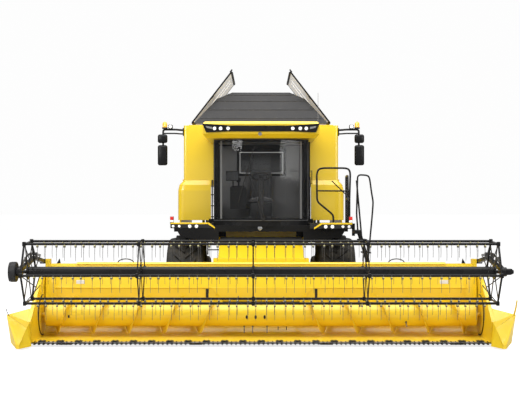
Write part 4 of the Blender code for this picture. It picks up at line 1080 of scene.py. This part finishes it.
def mirrorPieces():
    shells, arms, glass, beacons, bases = [], [], [], [], []
    arms += [tube([(1.602, 0.28, 3.94), (1.66, 0.28, 3.94), (1.76, 0.14, 3.94),
                   (2.02, 0.14, 3.94), (2.02, 0.14, 3.24)], 0.021, 0.05),
             tube([(1.602, 0.28, 3.86), (1.66, 0.28, 3.86), (1.76, 0.14, 3.86),
                   (2.01, 0.14, 3.86)], 0.015, 0.05),
             box(1.601, 0.22, 3.82, 1.622, 0.34, 3.98, 0.006)]
    for low, high in (((1.93, 0.085, 3.66), (2.13, 0.178, 3.84)),
                      ((1.93, 0.085, 3.20), (2.13, 0.178, 3.62))):
        shells.append(roundedBox(low, high, 0.045, 10, 20))
        glass.append(box(low[0] + 0.014, high[1] - 0.001, low[2] + 0.014, high[0] - 0.014,
                         high[1] + 0.003, high[2] - 0.014, 0.004))
    beacons.append(turnedSurface([(0, 0), (0.048, 0), (0.050, 0.06), (0.043, 0.095),
                                  (0.022, 0.115), (0, 0.12)], (1.985, 0.14, 3.985), "Z", 24,
                                 False))
    bases.append(turnedSurface([(0, -0.03), (0.056, -0.03), (0.056, 0.0), (0, 0.0)],
                               (1.985, 0.14, 3.985), "Z", 24, False))
    lamp = [roundedBox((1.82, 0.06, 3.955), (1.91, 0.15, 4.035), 0.02, 6, 12)]
    face = [disc(0.033, 0.002, (1.865, 0.06, 3.995), dome=0.008)]
    makePiece("mirror_arm_and_shell_left", arms + shells, finish["satinBlack"], "machine",
              stands=("mirror_left",))
    makePiece("mirror_arm_and_shell_right", [onRight(s) for s in arms + shells],
              finish["satinBlack"], "machine", stands=("mirror_right",))
    makePiece("mirror_glasses", bothSides(glass), mirrorFace, "machine")
    makePiece("beacons", bothSides(beacons), amberLens, "machine")
    makePiece("beacon_bases", bothSides(bases + lamp), finish["blackPlastic"], "machine")
    makePiece("beacon_lamp_faces", bothSides(face), whiteLens, "machine")
    rod = tubeSurface(np.array([(1.185, 0.25, z) for z in (3.95, 4.03, 4.40, 4.71)]),
                      np.array([0.014, 0.006, 0.005, 0.004]), 6)
    makePiece("antenna", [rod], finish["greyTrim"], "machine")


mirrorPieces()
print("lamps and mirrors made")


def cabInside():
    # ring in its own tilted plane: big radius round the column, small radius round the rim
    centre, tilt = np.array([0, -0.645, 2.945]), -24
    ring = turnedSurface([(0.17 + 0.017 * np.cos(a), 0.017 * np.sin(a))
                          for a in np.linspace(0, 2 * pi, 12, endpoint=False)],
                         centre, "Z", 48)
    spokes = [tubeSurface(np.array([centre, centre + 0.165 * np.array([np.cos(a), np.sin(a), 0])]),
                          0.011, 8, flat=0.6) for a in np.radians((90, 210, 330))]
    boss = turnedSurface([(0, 0.012), (0.045, 0.008), (0.052, -0.02), (0, -0.03)], centre, "Z",
                         24, False)
    knob = roundedBox(centre + (0.10, 0.10, 0.02), centre + (0.135, 0.135, 0.065), 0.016, 6, 10)
    wheel = [aboutAxis(s, centre, tilt) for s in [ring, *spokes, boss, knob]]
    makePiece("steering_wheel_rim", wheel, finish["blackPlastic"], "steering_wheel",
              stands=("steering_wheel",))
    console = [box(-0.60, -0.44, 2.742, -0.33, 0.0, 2.765, 0.012),
               tubeSurface(np.array([(-0.45, -0.30, 2.75), (-0.45, -0.33, 2.85)]), 0.018, 10),
               roundedBox((-0.50, -0.375, 2.84), (-0.41, -0.29, 2.94), 0.03, 8, 12)]
    console += [box(-0.58 + 0.05 * k, -0.18, 2.764, -0.55 + 0.05 * k, -0.13, 2.772, 0.003)
                for k in range(5)]
    console += [box(-0.70, -0.60, 2.86, -0.44, -0.575, 3.06, 0.012),
                tubeSurface(np.array([(-0.56, -0.57, 2.9), (-0.56, -0.44, 2.75)]), 0.012, 8)]
    makePiece("cab_console", console, finish["blackPlastic"], "machine")
    makePiece("cab_monitor_face", [box(-0.685, -0.606, 2.875, -0.455, -0.598, 3.045, 0.003)],
              screenFace, "machine")
    pedals = [box(x, -0.92, 2.08, x + 0.07, -0.85, 2.16, 0.008) for x in (-0.26, 0.12, 0.22)]
    mats = [box(-0.85, -0.85, 2.061, 0.85, 0.15, 2.070, 0.003)]
    mats += [box(-0.80, -0.80 + 0.05 * k, 2.069, 0.80, -0.785 + 0.05 * k, 2.074, 0.002)
             for k in range(18)]
    makePiece("cab_pedals_and_mat", pedals + mats, finish["beltRubber"], "machine")
    lining = [box(-0.86, -0.85, 3.628, 0.86, 0.20, 3.655, 0.01)]
    lining += [box(-0.86, 0.185, 2.10, -0.50, 0.198, 3.60, 0.004),
               box(0.52, 0.185, 2.10, 0.86, 0.198, 3.60, 0.004),
               box(-0.50, 0.185, 2.10, 0.52, 0.198, 2.98, 0.004)]
    makePiece("cab_lining", lining, finish["greyTrim"], "machine")
    # the frame is made of the glowing sheet: painted light, standing in for daylight coming
    # through the rear window
    low, high = (-0.46, 0.262, 3.02), (0.48, 0.270, 3.50)
    frame = [box(low[0], 0.258, z, high[0], 0.274, z + 0.03, 0.004) for z in (3.02, 3.47)]
    frame += [box(x, 0.258, low[2], x + 0.03, 0.274, high[2], 0.004) for x in (-0.46, 0.45)]
    makePiece("rear_window_frame", frame, paintedGlowSheet, "machine")
    makePiece("rear_window_pane", [box(-0.435, 0.262, 3.045, 0.455, 0.270, 3.475, 0.002)],
              rearGlass, "machine")
    handle = [tube([(0.962, -0.20, 2.75), (1.0, -0.20, 2.75), (1.0, -0.20, 2.95),
                    (0.962, -0.20, 2.95)], 0.010, 0.02),
              box(0.945, -0.24, 2.70, 0.958, -0.16, 3.0, 0.004)]
    makePiece("cab_door_handle", handle, finish["blackPlastic"], "cab_door")


cabInside()


def seatPieces():
    # crowned pads: each point is pulled out by a power of cosines, and seams are narrow troughs
    def pad(low, high, crown, axis, seams, rows=30, cols=30):
        low, high = np.array(low, float), np.array(high, float)
        u, v = np.meshgrid(np.linspace(-1, 1, rows), np.linspace(-1, 1, cols), indexing="ij")
        # corners are drawn in so that the plan is a rounded square with slightly hollow sides
        pull = 1 - 0.055 * (u * v) ** 2
        hollow = 0.03 * np.cos(u * pi / 2) ** 2
        px, py = u * pull, v * (pull - hollow)
        dome = ((1 - np.abs(u) ** 5) * (1 - np.abs(v) ** 5)) ** 0.42
        swell = 0.72 + 0.28 * np.cos(u * pi / 2) * np.cos(v * pi / 2)
        dent = sum(np.exp(-((u if way == "u" else v) - at) ** 2 / 0.0016) * depth
                   for way, at, depth in seams)
        top = dome * swell - dent * dome * 0.25
        under = 0.10 * dome
        half, middle = (high - low) / 2, (high + low) / 2
        a, b = [k for k in (0, 1, 2) if k != axis]
        sheets = []
        for height in (top, -under):
            point = np.empty((*u.shape, 3))
            point[..., a] = middle[a] + px * half[a]
            point[..., b] = middle[b] + py * half[b]
            base = low[axis] + 0.25 * (high[axis] - low[axis]) if crown > 0 else \
                high[axis] - 0.25 * (high[axis] - low[axis])
            point[..., axis] = base + crown * height * 0.74 * (high[axis] - low[axis])
            sheets.append(point)
        return sheets

    def closed(sheets):
        top, under = sheets
        rows, cols = top.shape[:2]
        a, b = gridSurface(top), gridSurface(under[:, ::-1])
        points = np.vstack([a[0], b[0]])
        return points, a[1] + [[i + rows * cols for i in face] for face in b[1]]

    cushion = closed(pad((-0.25, -0.48, 2.4215), (0.25, 0.02, 2.55), 1, 2,
                         [("u", -0.55, 0.8), ("u", 0.55, 0.8), ("v", 0.35, 0.6)]))
    back = closed(pad((-0.23, 0.02, 2.45), (0.23, 0.145, 3.10), -1, 1,
                      [("u", -0.58, 0.8), ("u", 0.58, 0.8), ("v", -0.2, 0.6), ("v", 0.45, 0.6)]))
    for name, surface, node in (("seat_cushion_pad", cushion, "seat_cushion"),
                                ("seat_backrest_pad", back, "seat_backrest")):
        piece = makePiece(name, [surface], seatCloth, "machine", stands=(node,),
                          smooth=180)
        round_ = piece.modifiers.new("round", "SUBSURF")
        round_.levels = round_.render_levels = 1
    rolls = [tubeSurface(roundedPath([(-0.20, -0.43, 2.475), (0.20, -0.43, 2.475)], 0.02), 0.004,
                         6)]
    makePiece("seat_piping", rolls, finish["beltRubber"], "machine")


seatPieces()
print("cab made")


def railing(points, radius=0.018, bend=0.07):
    return tubeSurface(roundedPath(points, bend, 6), radius, 12)


def treadPlate(low, high, body, name):
    # raised lozenges in two crossed directions
    x = np.arange(low[0] + 0.03, high[0] - 0.02, 0.045)
    y = np.arange(low[1] + 0.03, high[1] - 0.02, 0.045)
    gx, gy = np.meshgrid(x, y, indexing="ij")
    places = np.column_stack([gx.ravel(), gy.ravel(), np.full(gx.size, high[2])])
    turn = (np.add.outer(np.arange(len(x)), np.arange(len(y))) % 2).ravel().astype(bool)
    bar = prismSurface([(-0.014, 0), (0, 0.004), (0.014, 0), (0, -0.004)], "Z", -0.001, 0.0025)
    other = aboutAxis(bar, (0, 0, 0), 90, "Z")
    makePiece(name, [copiesOf(bar, places[turn]), copiesOf(other, places[~turn])],
              finish["chassisBlack"], body)


def platformPieces():
    y = -1.66
    rails = [railing([(1.37, y, 2.0), (1.37, y, 2.17), (1.33, y, 2.22), (1.06, y, 2.44),
                      (1.055, y, 2.98), (1.09, y, 3.05), (1.16, y, 3.075), (1.60, y, 3.075),
                      (1.665, y, 3.05), (1.69, y, 2.98), (1.675, y, 2.50), (1.675, y, 2.0)]),
             railing([(1.057, y, 2.645), (1.68, y, 2.64)], 0.014),
             railing([(1.69, -1.10, 2.0), (1.69, -1.10, 2.95), (1.69, -0.66, 2.95),
                      (1.69, -0.66, 2.0)]),
             railing([(1.69, -1.10, 2.50), (1.69, -0.66, 2.50)], 0.014),
             railing([(1.34, y - 0.012, 2.83), (1.61, y - 0.012, 2.57)], 0.010)]
    deck = [box(0.945, -1.70, 1.975, 1.72, 0.09, 2.02, 0.006),
            box(0.945, -1.14, 1.86, 1.69, -1.06, 2.0, 0.01),
            box(0.9305, -0.55, 1.80, 1.0, 0.05, 1.99, 0.01),
            box(1.20, -1.69, 1.90, 1.26, -1.02, 1.99, 0.008),
            box(1.705, -1.64, 2.01, 1.718, -0.40, 2.07, 0.004)]
    feet = [box(px - 0.03, py - 0.03, 2.018, px + 0.03, py + 0.03, 2.028, 0.003)
            for px, py in ((1.37, y), (1.675, y), (1.69, -1.10), (1.69, -0.66))]
    makePiece("platform_deck_and_rails", rails + deck + feet, finish["satinBlack"], "machine",
              stands=("platform_left",))
    treadPlate((0.96, -1.68, 0), (1.70, 0.08, 2.02), "machine", "platform_tread_left")
    treadPlate((-1.70, -1.12, 0), (-0.96, 0.08, 2.02), "machine", "platform_tread_right")
    # a hanging chain: its sag is a parabola between the two rails
    t = np.linspace(0, 1, 28)
    links = np.column_stack([1.683 + 0.007 * t, -1.66 + 0.56 * t, 2.60 - 0.06 * t
                             - 0.22 * 4 * t * (1 - t) * 0.5])
    link = turnedSurface([(0.009, -0.003), (0.013, 0), (0.009, 0.003), (0.006, 0)], (0, 0, 0),
                         "X", 8)
    flat = turnedSurface([(0.009, -0.003), (0.013, 0), (0.009, 0.003), (0.006, 0)], (0, 0, 0),
                         "Z", 8)
    makePiece("rail_chain", [copiesOf(link, links[::2]), copiesOf(flat, links[1::2])],
              finish["brightSteel"], "machine")
    x, front, rear, body = 1.79, -1.74, -1.32, "access_ladder"
    frame = [railing([(x, -1.20, 1.78), (x, -1.20, 2.02)], 0.03),
             box(x - 0.02, front - 0.02, 1.83, x + 0.11, -1.19, 1.90, 0.008)]
    for side in (front, rear):
        rail = prismSurface([(x + 0.048, 1.88), (x + 0.092, 1.88), (x + 0.472, 0.60),
                             (x + 0.428, 0.60)], "Y", side - 0.022, side + 0.022)
        frame.append(rail)
    steps, treads = [], []
    for k in range(5):
        t = 0.12 + 0.19 * k
        sx, sz = x + 0.07 + 0.38 * t, 1.87 - 1.27 * t
        steps.append(box(sx - 0.06, front, sz - 0.014, sx + 0.10, rear, sz + 0.010, 0.004))
        treads += [box(sx - 0.05, front + 0.04 + 0.045 * j, sz + 0.009, sx + 0.09,
                       front + 0.055 + 0.045 * j, sz + 0.0135, 0.002) for j in range(8)]
    frame += [railing([(x + 0.11, front, 1.72), (x + 0.10, front, 1.84), (x + 0.01, front, 2.84)],
                      0.016),
              railing([(x + 0.26, rear, 1.20), (x + 0.35, rear, 2.17), (x + 0.37, rear, 2.44),
                       (x + 0.34, rear, 2.60), (x + 0.30, rear, 2.90), (x + 0.26, rear, 2.95),
                       (x + 0.07, rear, 2.96), (x + 0.05, rear, 2.20), (x + 0.08, rear, 1.80)],
                      0.016)]
    makePiece("ladder_frame", frame + steps, finish["satinBlack"], body,
              stands=("access_ladder",))
    makePiece("ladder_treads", treads, finish["chassisBlack"], body)


platformPieces()
print("access made")


def tankPieces():
    # pale inner faces on the open lids, made with the glowing sheet so that they look brighter
    # than their lighting makes them (painted light); a lid point is hinge + along the lid + off
    # its face
    hinge, open_ = np.array([1.44, 4.08]), radians(52.2)
    along = np.array([-np.cos(open_), np.sin(open_)])
    off = np.array([-np.sin(open_), -np.cos(open_)])

    def lidPrism(a0, a1, n0, n1, y0, y1):
        outline = [hinge + along * a + off * n for a, n in ((a0, n0), (a1, n0), (a1, n1),
                                                            (a0, n1))]
        return prismSurface(outline, "Y", y0, y1)

    panels = [lidPrism(0.06, 1.325, 0.0003, 0.002, 0.40, 2.44)]
    ribs = [lidPrism(0.14, 1.26, 0.002, 0.009, y, y + 0.04) for y in (1.16, 1.62)]
    edges = [lidPrism(0.03, 1.335, 0.0003, 0.0035, y, y + 0.03) for y in (0.362, 2.448)]
    edges += [lidPrism(0.02, 1.37, -0.026, 0.006, y, y + 0.009) for y in (0.350, 2.481)]
    edges.append(lidPrism(1.362, 1.372, -0.022, 0.020, 0.37, 2.47))
    hooks = [lidPrism(1.34, 1.41, -0.045, -0.021, y, y + 0.05) for y in (0.38, 2.41)]
    stays = [lidPrism(0.66, 0.74, 0.002, 0.007, y, y + 0.05) for y in (0.40, 2.39)]
    for name, side, body in (("left", 1, "tank_lid_left"), ("right", -1, "tank_lid_right")):
        turn = (lambda s: s) if side > 0 else onRight
        # the linings glow a little though they are no lamp: painted light
        makePiece(f"lid_lining_{name}", [turn(s) for s in panels + ribs], paintedGlowSheet, body)
        makePiece(f"lid_edges_{name}", [turn(s) for s in edges + hooks], finish["satinBlack"],
                  body)
        makePiece(f"lid_brackets_{name}", [turn(s) for s in stays], finish["greyTrim"], body)
    # pressed ridges across both flaps; a flap point is hinge + up the flap + off its face
    for name, y, way in (("front", 0.312, 1), ("rear", 2.528, -1)):
        ridges = []
        for s, half in ((0.10, 1.26), (0.30, 1.09), (0.50, 0.93), (0.64, 0.70)):
            section = [(y + way * (0.342 * t - 0.94 * n), 4.077 + 0.94 * t + 0.342 * n)
                       for t, n in ((s, 0.0075), (s + 0.012, 0.0125), (s + 0.034, 0.0125),
                                    (s + 0.046, 0.0075))]
            ridges.append(prismSurface(section, "X", -half, half))
        makePiece(f"flap_ridges_{name}", ridges, finish["charcoalSheet"], f"tank_flap_{name}")
    # filling auger in the tank and the roof cover over the cross augers
    t = np.linspace(0, 2 * pi * 6, 145)
    path = np.column_stack([0.10 + 0 * t, 2.38 - 1.05 * t / t[-1], 2.95 + 0.85 * t / t[-1]])
    axis = (path[-1] - path[0]) / np.linalg.norm(path[-1] - path[0])
    across = np.array([1.0, 0, 0])
    up = np.cross(axis, across)
    ring = np.cos(t)[:, None] * across + np.sin(t)[:, None] * up
    blade = np.stack([path + 0.035 * ring, path + 0.13 * ring,
                      path + 0.13 * ring + 0.004 * axis, path + 0.035 * ring + 0.004 * axis], 1)
    filler = [gridSurface(blade, wrapCols=True, capEnds=True),
              tubeSurface(np.linspace(path[0], path[-1], 4), 0.04, 12)]
    makePiece("tank_filling_auger", filler, finish["springSteel"], "machine")
    covers = [prismSurface([(y - 0.22, 2.78), (y, 3.02), (y + 0.22, 2.78)], "X", -1.0, 1.0)
              for y in (0.95, 1.75)]
    makePiece("tank_auger_covers", covers, finish["greyTrim"], "machine", bevel=0.004)


tankPieces()


def louvres(axisX, y0, y1, z0, z1, rows, side):
    # slanted slats in a shallow frame on a side panel
    slats, step = [], (z1 - z0) / rows
    for k in range(rows):
        z = z0 + step * k
        slats.append(prismSurface([(side * axisX, z), (side * (axisX + 0.016), z + 0.2 * step),
                                   (side * axisX, z + 0.85 * step)], "Y", y0, y1))
    return slats


def sidePieces():
    # side panels: pressed seams, latches, grab slots and reflectors, all on the shields
    for end in ("front", "rear"):
        for side, hand in ((1, "left"), (-1, "right")):
            body = f"side_shield_{end}_{hand}"
            node = nodes[body]
            corners = np.array([node.matrix_world @ v.co for v in node.data.vertices])
            low, high = corners.min(0), corners.max(0)
            x = 1.7145 * side
            black, seams = [], []
            mid = 0.5 * (low[1] + high[1])
            black.append(box(x - 0.004, mid - 0.09, low[2] + 0.06, x + 0.010 * side, mid + 0.09,
                             low[2] + 0.10, 0.006))
            for y in (low[1] + 0.10, high[1] - 0.14):
                black.append(box(x - 0.004, y, low[2] + 0.16, x + 0.008 * side, y + 0.04,
                                 low[2] + 0.24, 0.005))
            seams += [box(x - 0.006, low[1] + 0.05, z, x + 0.006 * side, high[1] - 0.05,
                          z + 0.028, 0.006) for z in (0.5 * (low[2] + high[2]),)]
            black += louvres(1.7145, mid - 0.35, mid + 0.35, high[2] - 0.42, high[2] - 0.14, 6,
                             side)
            makePiece(f"{body}_latches_and_vents", black, finish["blackPlastic"], body)
            makePiece(f"{body}_pressing", seams, finish["enamelYellow"], body)
            makePiece(f"{body}_reflector",
                      [box(x - 0.004, mid + 0.16, low[2] + 0.05, x + 0.007 * side, mid + 0.26,
                           low[2] + 0.10, 0.003)], amberLens, body)
    # belts and pulleys on the body side behind the shields
    sheaves, belts = [], []
    drives = {"main": ((0.9, 1.9, 0.22), (1.7, 1.5, 0.16)), "rear": ((2.4, 2.2, 0.28),
                                                                    (3.3, 1.7, 0.14))}
    for (ya, za, ra), (yb, zb, rb) in drives.values():
        for y, z, r in ((ya, za, ra), (yb, zb, rb)):
            sheaves.append(turnedSurface([(0.03, 1.205), (r, 1.205), (r, 1.215), (r - 0.02, 1.225),
                                          (r, 1.235), (r, 1.245), (r * 0.85, 1.245),
                                          (r * 0.8, 1.225), (0.05, 1.225), (0.05, 1.26),
                                          (0.03, 1.26)], (0, y, z), "X", 40))
        a = np.arctan2(zb - za, yb - ya)
        lean = np.arccos((ra - rb) / np.hypot(yb - ya, zb - za))
        one = np.linspace(a + lean, a + 2 * pi - lean, 24)
        two = np.linspace(a - lean, a + lean, 16)
        loop = [(1.225, ya + ra * np.cos(q), za + ra * np.sin(q)) for q in one]
        loop += [(1.225, yb + rb * np.cos(q), zb + rb * np.sin(q)) for q in two]
        belts.append(tubeSurface(np.array(loop), 0.009, 6, wrap=True))
    makePiece("drive_pulleys", bothSides(sheaves), finish["springSteel"], "machine")
    makePiece("drive_belts", bothSides(belts), finish["beltRubber"], "machine")


sidePieces()


def rearPieces():
    lamps, amber, shells, plates = [], [], [], []
    for side in (-1, 1):
        shells.append(box(side * 0.86, 4.90, 1.52, side * 1.02, 4.96, 1.86, 0.02))
        shells.append(box(side * 0.70, 4.86, 1.66, side * 0.90, 4.90, 1.72, 0.01))
        lamps.append(box(side * 0.88, 4.955, 1.54, side * 1.0, 4.972, 1.64, 0.012))
        lamps.append(box(side * 0.88, 4.955, 1.75, side * 1.0, 4.972, 1.84, 0.012))
        amber.append(box(side * 0.88, 4.955, 1.65, side * 1.0, 4.972, 1.74, 0.012))
    makePiece("rear_lamp_shells", shells, finish["blackPlastic"], "machine")
    makePiece("rear_lamps_red", lamps, redLens, "machine")
    makePiece("rear_lamps_amber", amber, amberLens, "machine")
    plates.append(box(-0.26, 4.925, 1.10, 0.26, 4.945, 1.22, 0.01))
    makePiece("rear_blank_plate", plates, finish["paleSheet"], "machine")
    hood = [box(-0.90, 4.138, 3.02 + 0.055 * k, 0.90, 4.152, 3.045 + 0.055 * k, 0.006)
            for k in range(10)]
    hood += louvres(1.198, 2.85, 3.95, 3.05, 3.60, 9, 1)
    makePiece("engine_hood_grilles", hood, finish["blackPlastic"], "machine")
    fan = (0, 3.38, 3.30)
    screen = [turnedSurface([(0.40, -1.204), (0.46, -1.204), (0.46, -1.250), (0.43, -1.262),
                             (0.40, -1.250)], fan, "X", 48)]
    makePiece("radiator_screen_rim", screen, finish["satinBlack"], "machine")
    mesh = [turnedSurface([(0, -1.236), (0.41, -1.230), (0.41, -1.224), (0, -1.228)],
                          fan, "X", 48, False)]
    makePiece("radiator_screen_mesh", mesh, finish["springSteel"], "machine")
    spoke = box(-1.245, 3.37, 3.30, -1.238, 3.39, 3.70, 0.002)
    spokes = [aboutAxis(spoke, fan, np.arange(8) * 45)]
    makePiece("radiator_screen_spokes", spokes, finish["satinBlack"], "machine")
    stack = [tube([(0.78, 3.95, 3.70), (0.78, 3.95, 4.25), (0.78, 4.10, 4.38)], 0.065, 0.08, 20),
             turnedSurface([(0.0, 3.70), (0.10, 3.70), (0.10, 3.72), (0.0, 3.73)],
                           (0.78, 3.95, 0), "Z", 24, False)]
    makePiece("exhaust_stack", stack, finish["springSteel"], "machine")
    rails = [railing([(-1.50, 2.70, 2.91), (-1.50, 2.70, 3.80), (-1.50, 3.30, 3.80),
                      (-1.50, 3.30, 2.91)], 0.016),
             railing([(-1.50, 2.70, 3.35), (-1.50, 3.30, 3.35)], 0.012),
             railing([(-1.50, 3.55, 2.91), (-1.50, 3.55, 3.80), (-1.50, 4.05, 3.80),
                      (-1.50, 4.05, 2.91)], 0.016)]
    makePiece("engine_deck_rails", rails, finish["satinBlack"], "machine")
    rungs = [tubeSurface(np.array([(-1.30, 4.20, z), (-0.98, 4.20, z)]), 0.014, 8)
             for z in np.arange(1.30, 2.90, 0.27)]
    rungs += [railing([(x, 4.12, 2.88), (x, 4.20, 2.86), (x, 4.20, 1.18)], 0.016)
              for x in (-1.30, -0.98)]
    makePiece("rear_ladder", rungs, finish["satinBlack"], "machine")
    hoodTrim = [box(-0.70, 4.928, z, 0.70, 4.940, z + 0.03, 0.008) for z in (1.45, 1.75, 2.05)]
    makePiece("straw_hood_pressings", hoodTrim, finish["enamelYellow"], "machine")
    makePiece("engine_deck_treads",
              [box(-1.52, 2.72 + 0.06 * k, 2.914, -1.22, 2.75 + 0.06 * k, 2.920, 0.003)
               for k in range(22)], finish["chassisBlack"], "machine")


rearPieces()
print("tank, sides and back made")


(cadLow, cadHigh), (low, high) = cadBox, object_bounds()
